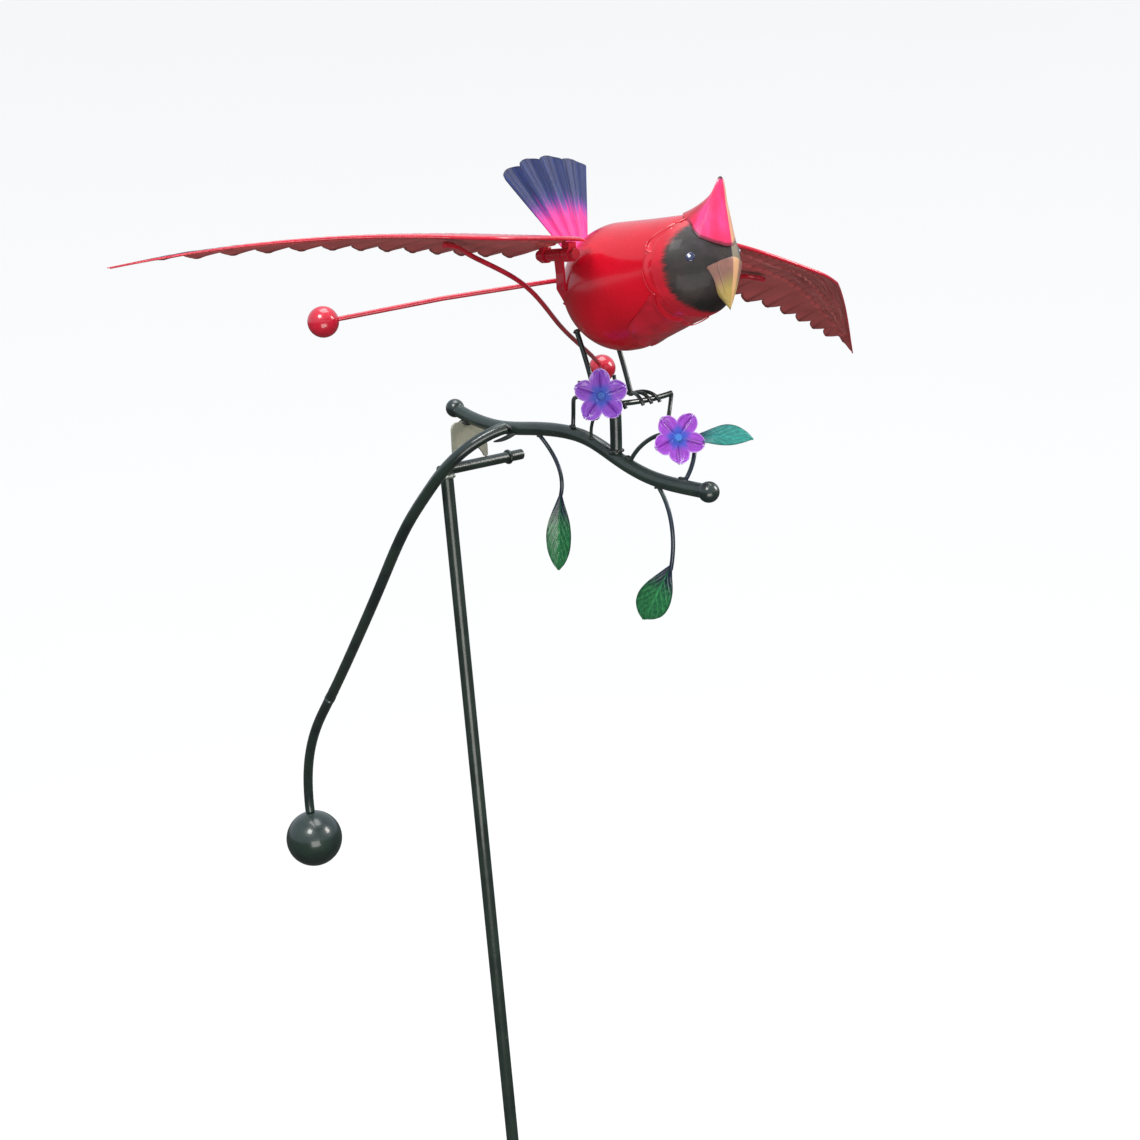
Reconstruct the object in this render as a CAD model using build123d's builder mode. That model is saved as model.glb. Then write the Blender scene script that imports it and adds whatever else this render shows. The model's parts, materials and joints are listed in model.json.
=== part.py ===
from build123d import *
import os
from math import asin, cos, pi, radians, sin

# Rocking garden whirligig: a sheet-metal bird on a balanced branch, needle-seated on a ground stake.
# Millimetres. Origin: middle of the crossbar, on its centre line.  +X is where the bird looks,
# +Y is the bird's left, +Z is up.

# ---------------------------------------------------------------- driving dimensions
sheet = 0.8                 # pressed body sheet
wing_sheet = 0.5            # thin wing sheet
touch = 0.05                # gap between neighbours that are only laid on each other

stake_r = 6.0
tube_wall = 1.0
stake_y = -30.0             # the stake stands under the near end of the crossbar
stake_joint_z = -560.0      # where the upper and lower stake lengths meet
ground_z = -1020.0          # soil level, at the step bar
prong_length = 170.0
prong_gap = 110.0
prong_r = 4.0
tube_foot_z = ground_z - 8
spike_r = 4.5
spike_length = 140.0

crossbar_r = 5.0
crossbar_near_y = -38.0
crossbar_far_y = 62.0
stop_y = 45.0
point_y = 18.0              # half the distance between the saddle's two points
dimple_depth = 2.4
dimple_r = 3.0
pivot_z = crossbar_r - dimple_depth + 0.3

saddle_thickness = 2.5
saddle_half_width = 20.5
saddle_top_z = 41.0

branch_r = 6.0
branch_end_r = 8.6
branch_line = [
    (-16, 0, 52), (18, 0, 41), (50, 0, 36.6), (87, 0, 37), (128, 0, 36.5),
    (160, 0, 31), (197, 0, 14.8), (235, 0, 1.5), (265, 0, -3), (295, 0, -5.6),
]

arm_r = 5.3
arm_line = [
    (64, -8, 38), (53, -24, 32), (32, -44, 14), (-6, -49, -18), (-42, -46, -48),
    (-108, -37, -114), (-179, -27, -187), (-262, -15, -268), (-307, -8, -312),
    (-336, -3, -354), (-349, 0, -386), (-352, 0, -420),
]
counterweight_r = 31.5
counterweight_wall = 5.3
counterweight_centre = (-350, 0, -452)

# body: an egg of revolution about an axis that rises towards the head
egg_centre = (219, 0, 157)
egg_rise = 10.9             # degrees
egg_radius = 51.0
head_along = 73.0
head_radius = 39.0
face_centre = (325, 0, 175)
mask_reach = 45.5
hood_reach = 59.5

hinge_y = 50.0
hinge_z = 187.0
hinge_pin_r = 3.0
pin_clearance = 0.05
knuckle_r = 6.0
knuckle_spans = [(178.0, 184.0), (205.0, 213.0)]
barrel_span = (186.0, 203.0)
right_wing_angle = 4.0      # dihedral at rest, degrees
left_wing_angle = -20.0

wing_rod_r = 2.0
left_rod_bend_r = 14.0   # the far balance wire has straight runs, the near one is a single sweep
wing_ball_r = 12.9
weld_heights = {-1: (6.3, 5.5), 1: (5.7, 4.4)}      # of each rod's line, in its wing's plane

leg_r = 2.1
toe_r = 1.6
perch_r = 2.4
post_r = 5.0
foot_x = 196.0
foot_y = 20.0
foot_z = 66.0
hip = (178, 20, 125)

stem_r = 1.8
flower_r = 22.0
petals = 5

os.makedirs("parts", exist_ok=True)


# ---------------------------------------------------------------- shared helpers
def save(part, name):
    part.label = name
    export_step(part, f"parts/{name}.step")
    return part


def wire(points, radius, bore=0.0):
    """A round bar, or a tube when bore is given, along a smooth line through the points."""
    with BuildPart() as bar:
        with BuildLine() as path:
            Spline(*points)
        with BuildSketch(Plane(origin=path.line @ 0, z_dir=path.line % 0)):
            Circle(radius)
            if bore:
                Circle(bore, mode=Mode.SUBTRACT)
        sweep()
    return bar.part


def bent_wire(points, radius, bend_r):
    """A round bar of straight runs joined by bends of one radius."""
    with BuildPart() as bar:
        with BuildLine() as path:
            FilletPolyline(*points, radius=bend_r)
        with BuildSketch(Plane(origin=path.line @ 0, z_dir=path.line % 0)):
            Circle(radius)
        sweep()
    return bar.part


def ball(centre, radius):
    with BuildPart() as sphere:
        with Locations(centre):
            Sphere(radius)
    return sphere.part


def trimmed(part, *neighbours):
    """The part with its neighbours' space cut away, so that welded pieces meet face to face."""
    with BuildPart() as cut:
        add(part)
        for neighbour in neighbours:
            add(neighbour, mode=Mode.SUBTRACT)
    return cut.part


def largest(part):
    return part.solids().sort_by(SortBy.VOLUME)[-1]


# ---------------------------------------------------------------- ground stake
def stake_upper(crossbar_solid):
    with BuildPart() as tube:
        with BuildSketch(Plane.XY.offset(stake_joint_z)):
            with Locations((0, stake_y)):
                Circle(stake_r)
                Circle(stake_r - tube_wall, mode=Mode.SUBTRACT)
        extrude(amount=-stake_joint_z)
    return largest(trimmed(tube.part, crossbar_solid))


def stake_lower():
    """Tube with a reduced spigot at its top that slides into the upper length."""
    spigot_length = 40.0
    shoulder = 4.0
    spigot_r = stake_r - tube_wall - touch
    with BuildPart() as tube:
        with BuildSketch(Plane.XY.offset(tube_foot_z)):
            with Locations((0, stake_y)):
                Circle(stake_r)
                Circle(stake_r - tube_wall, mode=Mode.SUBTRACT)
        extrude(amount=stake_joint_z - tube_foot_z)
        with BuildSketch(Plane.XY.offset(stake_joint_z - shoulder)):
            with Locations((0, stake_y)):
                Circle(stake_r - tube_wall / 2)
                Circle(spigot_r - tube_wall, mode=Mode.SUBTRACT)
        extrude(amount=shoulder)
        with BuildSketch(Plane.XY.offset(stake_joint_z)):
            with Locations((0, stake_y)):
                Circle(spigot_r)
                Circle(spigot_r - tube_wall, mode=Mode.SUBTRACT)
        extrude(amount=spigot_length)
    return tube.part


def ground_spike():
    """Solid bar plugged into the lower tube and pointed at its foot."""
    point_length = 22.0
    with BuildPart() as spike:
        with Locations((0, stake_y, tube_foot_z)):
            Cylinder(stake_r - tube_wall - touch, 30, align=(Align.CENTER, Align.CENTER, Align.MIN))
            Cylinder(spike_r, spike_length, align=(Align.CENTER, Align.CENTER, Align.MAX))
        with Locations((0, stake_y, tube_foot_z - spike_length)):
            Cone(spike_r, 0.8, point_length, rotation=(180, 0, 0),
                 align=(Align.CENTER, Align.CENTER, Align.MIN))
    return spike.part


def ground_fork():
    """Step bar bent into two prongs, welded across the stake."""
    half = prong_gap / 2
    point_length = 20.0
    bottom_z = ground_z - prong_length + point_length
    bend_r = 14.0
    with BuildPart() as fork:
        with BuildLine() as path:
            Polyline(
                (-half, stake_y, bottom_z), (-half, stake_y, ground_z),
                (half, stake_y, ground_z), (half, stake_y, bottom_z),
            )
            fillet(path.vertices().sort_by(Axis.Z)[-2:], bend_r)
        with BuildSketch(Plane.XY.offset(bottom_z)):
            with Locations((-half, stake_y)):
                Circle(prong_r)
        sweep()
        with Locations((-half, stake_y, bottom_z), (half, stake_y, bottom_z)):
            Cone(prong_r, 0.6, point_length, rotation=(180, 0, 0),
                 align=(Align.CENTER, Align.CENTER, Align.MIN))
        with Locations((0, stake_y, ground_z)):
            Cylinder(stake_r, 40, mode=Mode.SUBTRACT)
    return fork.part


def crossbar():
    """Solid bar along Y with two cone dimples that seat the saddle's points."""
    with BuildPart() as bar:
        with BuildSketch(Plane.XZ.offset(-crossbar_far_y)):
            Circle(crossbar_r)
        extrude(amount=crossbar_far_y - crossbar_near_y)
        chamfer(bar.edges().filter_by(GeomType.CIRCLE), 0.6)
        with Locations((0, -point_y, crossbar_r), (0, point_y, crossbar_r)):
            Cone(0.6, dimple_r, dimple_depth, align=(Align.CENTER, Align.CENTER, Align.MAX),
                 mode=Mode.SUBTRACT)
    return bar.part


def crossbar_stop(bar_solid):
    """Weld ring near the bar's free end, which keeps the saddle from walking off."""
    ring_r = 1.6
    with BuildPart() as ring:
        with Locations(Location((0, stop_y, 0), (90, 0, 0))):
            Torus(crossbar_r + 0.4, ring_r)
        add(bar_solid, mode=Mode.SUBTRACT)
    return ring.part


# ---------------------------------------------------------------- branch and balance arm
def saddle_plate(branch_space):
    """Two-legged plate under the branch; each leg ends in a ground point."""
    leg_z = crossbar_r + 0.9
    tip_r = 0.35
    with BuildPart() as plate:
        with BuildSketch(Plane.YZ.offset(-saddle_thickness / 2)):
            with BuildLine():
                Polyline(
                    (-point_y - 2, leg_z), (-saddle_half_width, 15), (-saddle_half_width + 1.5, saddle_top_z),
                    (saddle_half_width - 1.5, saddle_top_z), (saddle_half_width, 15), (point_y + 2, leg_z),
                    (point_y - 2, leg_z),
                )
                ThreePointArc((point_y - 2, leg_z), (0, 17.5), (-point_y + 2, leg_z))
                Line((-point_y + 2, leg_z), (-point_y - 2, leg_z))
            make_face()
        extrude(amount=saddle_thickness)
        fillet(plate.edges().filter_by(Axis.X).group_by(Axis.Z)[-1], 7)
        with Locations((0, -point_y, leg_z), (0, point_y, leg_z)):
            Cone(saddle_thickness / 2, tip_r, leg_z - pivot_z, rotation=(180, 0, 0),
                 align=(Align.CENTER, Align.CENTER, Align.MIN))
    return trimmed(plate.part, branch_space)


def branch_tube(rear_ball, front_ball):
    tube = wire(branch_line, branch_r, branch_r - tube_wall)
    return largest(trimmed(tube, rear_ball, front_ball))


def counterweight_arm(branch_space, ball_space):
    bar = wire(arm_line, arm_r)
    return largest(trimmed(bar, branch_space, ball_space))


def counterweight_ball():
    """Thick hollow ball; the arm's end is welded into the hole in its crown."""
    with BuildPart() as weight:
        with Locations(counterweight_centre):
            Sphere(counterweight_r)
            Sphere(counterweight_r - counterweight_wall, mode=Mode.SUBTRACT)
            with Locations((0, 0, counterweight_r)):
                Cylinder(4.0, 4 * counterweight_wall, mode=Mode.SUBTRACT)
    return weight.part


# ---------------------------------------------------------------- body of the bird
egg_dir = Vector(cos(radians(egg_rise)), 0, sin(radians(egg_rise)))
egg_plane = Plane(origin=egg_centre, x_dir=egg_dir, z_dir=(0, -1, 0))
egg_axis = Axis(egg_centre, egg_dir)


def egg_outline(grow):
    """Half outline: a rear arc and a head arc joined by their common tangent line, grown by grow."""
    slope = asin((egg_radius - head_radius) / head_along)
    rear, head = egg_radius + grow, head_radius + grow
    rear_end, front_end = (-rear, 0), (head_along + head, 0)
    rear_tangent = (rear * sin(slope), rear * cos(slope))
    head_tangent = (head_along + head * sin(slope), head * cos(slope))
    rear_middle = (-rear * cos(pi / 4), rear * sin(pi / 4))
    head_middle = (head_along + head * cos(pi / 4), head * sin(pi / 4))
    return rear_end, rear_middle, rear_tangent, head_tangent, head_middle, front_end


def draw_outline(points):
    rear_end, rear_middle, rear_tangent, head_tangent, head_middle, front_end = points
    ThreePointArc(rear_end, rear_middle, rear_tangent)
    Line(rear_tangent, head_tangent)
    ThreePointArc(head_tangent, head_middle, front_end)


def egg_solid(grow=0.0):
    outline = egg_outline(grow)
    with BuildPart() as egg:
        with BuildSketch(egg_plane):
            with BuildLine():
                draw_outline(outline)
                Line(outline[-1], outline[0])
            make_face()
        revolve(axis=egg_axis)
    return egg.part


def body_shell(side):
    """One pressed half of the hollow body; the halves meet on the middle plane."""
    outside, inside = egg_outline(0.0), egg_outline(-sheet)
    with BuildPart() as shell:
        with BuildSketch(egg_plane):
            with BuildLine():
                draw_outline(outside)
                Line(outside[-1], inside[-1])
                draw_outline(inside)
                Line(inside[0], outside[0])
            make_face()
        revolve(axis=egg_axis, revolution_arc=-180 * side)
    return shell.part


def shell_patch(inner_grow, outer_grow, keep, remove=None):
    """A sheet laid on the egg between two growths, kept inside one region and outside another."""
    with BuildPart() as patch:
        add(egg_solid(outer_grow))
        add(egg_solid(inner_grow), mode=Mode.SUBTRACT)
        add(keep, mode=Mode.INTERSECT)
        if remove:
            add(remove, mode=Mode.SUBTRACT)
    return largest(patch.part)


def breast_region():
    """Space in front of the slanted breast seam."""
    with BuildPart() as region:
        with BuildSketch(Plane.XZ):
            with BuildLine():
                Polyline((232, 90), (278, 138), (300, 170), (360, 170), (360, 90), (232, 90))
            make_face()
        extrude(amount=70, both=True)
    return region.part


def crest():
    """Pointed folded cap over the crown, open underneath where it sits on the head."""
    base = Plane(origin=(315, 0, 194.5), x_dir=(0.88, 0, -0.47), z_dir=(0.47, 0, 0.88))
    waist = Plane(origin=(321, 0, 215), x_dir=(0.95, 0, -0.3), z_dir=(0.3, 0, 0.95))
    apex = Plane(origin=(326.5, 0, 236))
    with BuildPart() as cap:
        with BuildSketch(base):
            Ellipse(22, 15)
        with BuildSketch(waist):
            Ellipse(12, 10)
        with BuildSketch(apex):
            Circle(1.2)
        loft()
        with BuildSketch(base.offset(-1)):
            Ellipse(22 - sheet, 15 - sheet)
        with BuildSketch(waist.offset(-1)):
            Ellipse(12 - sheet, 10 - sheet)
        with BuildSketch(apex.offset(-5)):
            Circle(0.6)
        loft(mode=Mode.SUBTRACT)
        add(egg_solid(2 * sheet + touch), mode=Mode.SUBTRACT)
    return largest(cap.part)


def beak():
    """Short broad cone hanging from the front of the face."""
    with BuildPart() as cone:
        with BuildSketch(Plane(origin=(318, 0, 158), x_dir=(0.87, 0, 0.5), z_dir=(0.5, 0, -0.87))):
            Ellipse(15, 18)
        with BuildSketch(Plane(origin=(329, 0, 137), x_dir=(0.97, 0, 0.25), z_dir=(0.25, 0, -0.97))):
            Circle(1.0)
        loft()
        add(egg_solid(3 * sheet + touch), mode=Mode.SUBTRACT)
    return largest(cone.part)


def tail_fan():
    """Fan of four round lobes rising behind the back."""
    fan_plane = Plane(origin=(173, 0, 176.2), x_dir=(0, 1, 0), z_dir=(0.89, 0, 0.454))
    lobes = 4
    half_angle = 29.5
    notch_radius = 95.5
    tip_radius = 99.5
    base_half_width = 6.0

    def at(radius, angle):
        return (radius * sin(radians(angle)), radius * cos(radians(angle)))

    step = 2 * half_angle / lobes
    with BuildPart() as fan:
        with BuildSketch(fan_plane):
            with BuildLine():
                Line((-base_half_width, 0), at(notch_radius, -half_angle))
                for lobe in range(lobes):
                    start = -half_angle + lobe * step
                    ThreePointArc(
                        at(notch_radius, start), at(tip_radius, start + step / 2),
                        at(notch_radius, start + step),
                    )
                Line(at(notch_radius, half_angle), (base_half_width, 0))
                Line((base_half_width, 0), (-base_half_width, 0))
            make_face()
        extrude(amount=sheet)
        add(egg_solid(touch), mode=Mode.SUBTRACT)
    return largest(fan.part)


# ---------------------------------------------------------------- wings
wing_tip = (146, 361)
wrist = (267, 167)
leading_line = [(226, -2), (258, 45), (273, 100), (277, 138), wrist]
trailing_line = [(157, -2), (160, 60), (168, 130), (175, 200), (171, 255), (163, 312)]
scallops = 12
scallop_depth = 7.5
wing_root, wing_reach = -6.0, 370.0     # span at which the sheet's two end sections are drawn
wing_sag = {-1: 0.0, 1: 14.0}           # how far each wing's trailing side is twisted down at the wrist


def wing_plane(side, angle):
    tilt = radians(angle)
    return Plane(
        origin=(0, side * hinge_y, hinge_z), x_dir=(1, 0, 0), z_dir=(0, -side * sin(tilt), cos(tilt)),
    )


def camber_arc(sag, lift=0.0):
    """Fore-and-aft section of the wing sheet in the wing's own plane: x, height."""
    return ((140, -3.5 - sag + lift), (225, 10 + lift), (295, 4 + lift))


def twisted(side, plane, depth, lift):
    """Ruled solid from root to wrist to reach, between the camber arc and depth below it."""
    section = Plane(origin=plane.origin, x_dir=plane.x_dir, z_dir=-plane.y_dir)
    with BuildPart() as space:
        for span, sag in ((wing_root, 0.0), (wrist[1], wing_sag[side]), (wing_reach, 0.0)):
            top, bottom = camber_arc(sag, lift), camber_arc(sag, lift - depth)
            with BuildSketch(section.offset(-side * span)):
                with BuildLine():
                    ThreePointArc(*bottom)
                    Line(bottom[2], top[2])
                    ThreePointArc(*top)
                    Line(top[0], bottom[0])
                make_face()
        loft(ruled=True)
    return space.part


def wing(side, angle):
    """Thin cambered sheet with a scalloped trailing edge."""
    plane = wing_plane(side, angle)
    trailing_edge = Spline(*[(x, side * s) for x, s in trailing_line])
    notches = [trailing_edge @ (n / scallops) for n in range(scallops + 1)]
    with BuildPart() as sheet_metal:
        with BuildSketch(plane.offset(-60)):
            with BuildLine():
                Spline(*[(x, side * s) for x, s in leading_line])
                Line((wrist[0], side * wrist[1]), (wing_tip[0], side * wing_tip[1]))
                Line((wing_tip[0], side * wing_tip[1]), notches[-1])
                for first, second in zip(notches[1:], notches[:-1]):
                    crown = (first + second) / 2 - Vector(scallop_depth, 0)
                    ThreePointArc(first, crown, second)
                Line(notches[0], (leading_line[0][0], side * leading_line[0][1]))
            make_face()
        extrude(amount=110)
        add(twisted(side, plane, wing_sheet, wing_sheet), mode=Mode.INTERSECT)
    return sheet_metal.part


def knuckles(side, angle):
    """Two rings with short tabs that hang the wing sheet on the pin."""
    plane = wing_plane(side, angle)
    tab_height = 14.0
    tab_width = 8.0
    with BuildPart() as rings:
        for start, end in knuckle_spans:
            ring_plane = Plane(origin=(start, side * hinge_y, hinge_z), x_dir=plane.y_dir, z_dir=(1, 0, 0))
            with BuildSketch(ring_plane):
                Circle(knuckle_r)
                with Locations((0, tab_height / 2)):
                    Rectangle(tab_width, tab_height)
                Circle(hinge_pin_r + pin_clearance, mode=Mode.SUBTRACT)
            extrude(amount=end - start)
        add(twisted(side, plane, 60, 0), mode=Mode.INTERSECT)
    return rings.part


def hinge_pin(side):
    head_r = 4.2
    head_t = 2.0
    start = knuckle_spans[0][0] - 2
    end = knuckle_spans[1][1] + 2
    with BuildPart() as pin:
        with BuildSketch(Plane(origin=(start, side * hinge_y, hinge_z), z_dir=(1, 0, 0))):
            Circle(hinge_pin_r)
        extrude(amount=end - start)
        for x in (start - head_t, end):
            with BuildSketch(Plane(origin=(x, side * hinge_y, hinge_z), z_dir=(1, 0, 0))):
                Circle(head_r)
            extrude(amount=head_t)
    return pin.part


def hinge_bracket(side):
    """Strap welded to the flank, carrying the barrel that holds the pin."""
    barrel_r = 4.9
    start, end = barrel_span
    with BuildPart() as bracket:
        with BuildSketch(Plane(origin=(start, side * hinge_y, hinge_z), z_dir=(1, 0, 0))):
            Circle(barrel_r)
        extrude(amount=end - start)
        with BuildSketch(Plane(origin=(start + 4, 0, 0), x_dir=(0, 1, 0), z_dir=(1, 0, 0))):
            with BuildLine():
                Polyline(
                    (side * (hinge_y - 1), hinge_z - barrel_r + 1), (side * (hinge_y - 1.5), 172),
                    (side * 49, 160), (side * 40, 146), (side * 38, 148), (side * 46.5, 161),
                    (side * (hinge_y - 3.5), 172), (side * (hinge_y - 3.5), hinge_z - barrel_r + 1),
                    close=True,
                )
            make_face()
        extrude(amount=9)
        with BuildSketch(Plane(origin=(start, side * hinge_y, hinge_z), z_dir=(1, 0, 0))):
            Circle(hinge_pin_r)
        extrude(amount=end - start, mode=Mode.SUBTRACT)
        add(egg_solid(touch), mode=Mode.SUBTRACT)
    return largest(bracket.part)


def on_wing(side, angle, x, span, height):
    """A point given in the wing's own plane, as a place on the whole object."""
    point = wing_plane(side, angle).from_local_coords(Vector(x, side * span, height))
    return (point.X, point.Y, point.Z)


def wing_rod(side, angle, drop_line, ball_solid):
    """Balance wire: welded flat under the wing, then down and across behind the body."""
    front_height, rear_height = weld_heights[side]
    weld = [on_wing(side, angle, 216, 130, front_height), on_wing(side, angle, 208, 112, rear_height)]
    line = weld + drop_line
    rod = wire(line, wing_rod_r) if side < 0 else bent_wire(line, wing_rod_r, left_rod_bend_r)
    return largest(trimmed(rod, ball_solid))


right_ball_centre = (42, 136, 73)
left_ball_centre = (34, -168, 148)
right_rod_line = [
    (197, -143, 195), (180, -80, 170), (165, -45, 151), (139, -3, 128), (112, 40, 109), right_ball_centre,
]
left_rod_line = [(205, 138, 150), (180, 90, 161), (133, 0, 164), (85, -82, 158), left_ball_centre]

# ---------------------------------------------------------------- perch, legs and foliage
post_line = [(193, 0, 18), (195, 0, 40), (foot_x, 0, 61)]
perch_line = [(196, -27, 63), (196, 0, 61.5), (196, 34, 60), (198, 66, 62)]
perch_wire_line = [(198, 66, 61), (202, 58, 48), (212, 45, 38), (238, 25, 32), (266, -1, 36)]

upper_flower = Plane(origin=(216, -34, 73.5), z_dir=(0.72, -0.68, 0.12))
lower_flower = Plane(origin=(266, -1, 36.5), z_dir=(0.8, -0.5, 0.25))
upper_flower_stem = [(144, -2, 36), (152, -6, 60), (175, -23, 70), (198, -31, 73), (216, -34, 73.5)]
lower_flower_stem = [(207, 0, 10), (222, 0, 27), (238, 2, 36), (266, -1, 36.5)]
leaves = [
    ("leaf_side", [(264, 2, -3), (270, 8, 11), (269, 14, 22), (263, 20, 33)],
     (261, 21, 33), (327, 20, 35), (0.5, -0.6, 0.6), 19),
    ("leaf_rear", [(98, 0, 32), (112, 0, 18), (121, 0, 2), (120, 0, -20)],
     (120, 0, -18), (109, 0, -89), (0.6, -0.8, 0), 22),
    ("leaf_front", [(238, 0, -3), (248, 0, -20), (252, 0, -48), (247, 0, -74)],
     (248, 0, -70), (211, 0, -121), (0.6, -0.8, 0), 28),
]


def stem(line, *neighbours):
    return largest(trimmed(wire(line, stem_r), *neighbours))


def bud_twig(branch_space):
    """Short bent twig with a bud at its end."""
    bud = (181, -9, 53)
    with BuildPart() as twig:
        add(wire([(168, -3, 28), (172, -6, 42), bud], 1.4))
        with Locations(bud):
            Sphere(4.2)
    return largest(trimmed(twig.part, branch_space))


def leg(side):
    shin = [(hip[0], side * hip[1], hip[2]), (188, side * hip[1], 96), (foot_x, side * foot_y, foot_z)]
    return largest(trimmed(wire(shin, leg_r), egg_solid(touch)))


def foot(side, leg_solid, perch_solid):
    """Three front toes and one hind toe that curl over the perch."""
    ankle = (foot_x, side * foot_y, foot_z + 1)
    with BuildPart() as toes:
        for spread in (-9, 0, 9):
            add(wire([
                ankle, (foot_x + 9, side * foot_y + 0.6 * spread, foot_z + 3),
                (foot_x + 19, side * foot_y + spread, foot_z - 1),
                (foot_x + 23, side * foot_y + 1.1 * spread, foot_z - 6),
            ], toe_r))
        add(wire([
            ankle, (foot_x - 9, side * foot_y, foot_z + 4), (foot_x - 18, side * foot_y, foot_z + 12),
            (foot_x - 19, side * foot_y, foot_z + 17),
        ], toe_r))
        add(leg_solid, mode=Mode.SUBTRACT)
        add(perch_solid, mode=Mode.SUBTRACT)
    return toes.part


def petals_at(plane):
    petal_length = flower_r * 0.9
    petal_width = flower_r * 0.62
    with BuildPart() as blossom:
        with BuildSketch(plane):
            with PolarLocations(flower_r - petal_length / 2, petals):
                Ellipse(petal_length / 2, petal_width / 2)
            Circle(flower_r * 0.25)
        extrude(amount=sheet)
    return blossom.part


def centre_at(plane):
    with BuildPart() as button:
        with BuildSketch(plane.offset(sheet)):
            Circle(flower_r * 0.17)
        extrude(amount=2.6, taper=20)
    return button.part


def leaf(base, tip, facing, width):
    """Lens-shaped blade from base to tip, with its face turned to facing."""
    along = Vector(*tip) - Vector(*base)
    length = along.length
    along = along.normalized()
    face_normal = Vector(*facing) - along * along.dot(Vector(*facing))
    plane = Plane(origin=base, x_dir=along, z_dir=face_normal)
    with BuildPart() as blade:
        with BuildSketch(plane):
            with BuildLine():
                Spline((0, 0), (0.62 * length, width / 2), (length, 0), tangents=[(1, 0.28), (1, -0.8)])
                Spline((0, 0), (0.62 * length, -width / 2), (length, 0), tangents=[(1, -0.28), (1, 0.8)])
            make_face()
        extrude(amount=sheet)
    return blade.part


# ---------------------------------------------------------------- assembly
bar = save(crossbar(), "crossbar")
save(stake_upper(bar), "stake_upper")
save(stake_lower(), "stake_lower")
save(ground_spike(), "ground_spike")
save(ground_fork(), "ground_fork")
save(crossbar_stop(bar), "crossbar_stop")

branch_space = wire(branch_line, branch_r + touch)
rear_ball = save(ball(branch_line[0], branch_end_r), "branch_ball_rear")
front_ball = save(ball(branch_line[-1], branch_end_r), "branch_ball_front")
save(branch_tube(rear_ball, front_ball), "branch_tube")
save(saddle_plate(branch_space), "saddle_plate")
save(counterweight_arm(branch_space, ball(counterweight_centre, counterweight_r)), "counterweight_arm")
save(counterweight_ball(), "counterweight_ball")

save(body_shell(-1), "body_shell_right")
save(body_shell(1), "body_shell_left")
hood_ball = ball(face_centre, hood_reach)
save(shell_patch(touch, sheet, hood_ball), "head_hood")
save(shell_patch(touch, sheet, breast_region(), hood_ball), "breast_panel")
save(shell_patch(sheet + touch, 2 * sheet, ball(face_centre, mask_reach)), "face_mask")
save(crest(), "crest")
save(beak(), "beak")
save(tail_fan(), "tail_fan")

for side, name, angle, rod_line in (
    (-1, "right", right_wing_angle, right_rod_line),
    (1, "left", left_wing_angle, left_rod_line),
):
    save(wing(side, angle), f"wing_{name}")
    save(knuckles(side, angle), f"wing_knuckles_{name}")
    save(hinge_pin(side), f"hinge_pin_{name}")
    save(hinge_bracket(side), f"hinge_bracket_{name}")
    wing_ball = save(ball(rod_line[-1], wing_ball_r), f"wing_ball_{name}")
    save(wing_rod(side, angle, rod_line, wing_ball), f"wing_rod_{name}")

post_space = wire(post_line, post_r)
perch_space = wire(perch_line, perch_r)
save(largest(trimmed(wire(post_line, post_r, post_r - tube_wall), branch_space)), "perch_post")
save(trimmed(perch_space, post_space), "perch_bar")
for side, name in ((-1, "right"), (1, "left")):
    leg_solid = save(leg(side), f"leg_{name}")
    save(foot(side, leg_solid, perch_space), f"foot_{name}")

upper_petals = save(petals_at(upper_flower), "flower_upper_petals")
lower_petals = save(petals_at(lower_flower), "flower_lower_petals")
upper_centre = save(centre_at(upper_flower), "flower_upper_centre")
lower_centre = save(centre_at(lower_flower), "flower_lower_centre")
save(stem(upper_flower_stem, branch_space, upper_petals, upper_centre), "flower_upper_stem")
flower_stem = save(stem(lower_flower_stem, branch_space, lower_petals, lower_centre), "flower_lower_stem")
save(stem(perch_wire_line, perch_space, lower_petals, lower_centre, flower_stem), "perch_wire")
save(bud_twig(branch_space), "bud_twig")

for name, stem_line, base, tip, facing, width in leaves:
    leaf_stem = save(stem(stem_line, branch_space), f"{name}_stem")
    save(largest(trimmed(leaf(base, tip, facing, width), leaf_stem)), name)
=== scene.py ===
import json
from math import asin, cos, pi, radians, sin, tan
from random import Random

import bmesh
import bpy
import numpy as np
from mathutils import Matrix, Vector, noise


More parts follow.
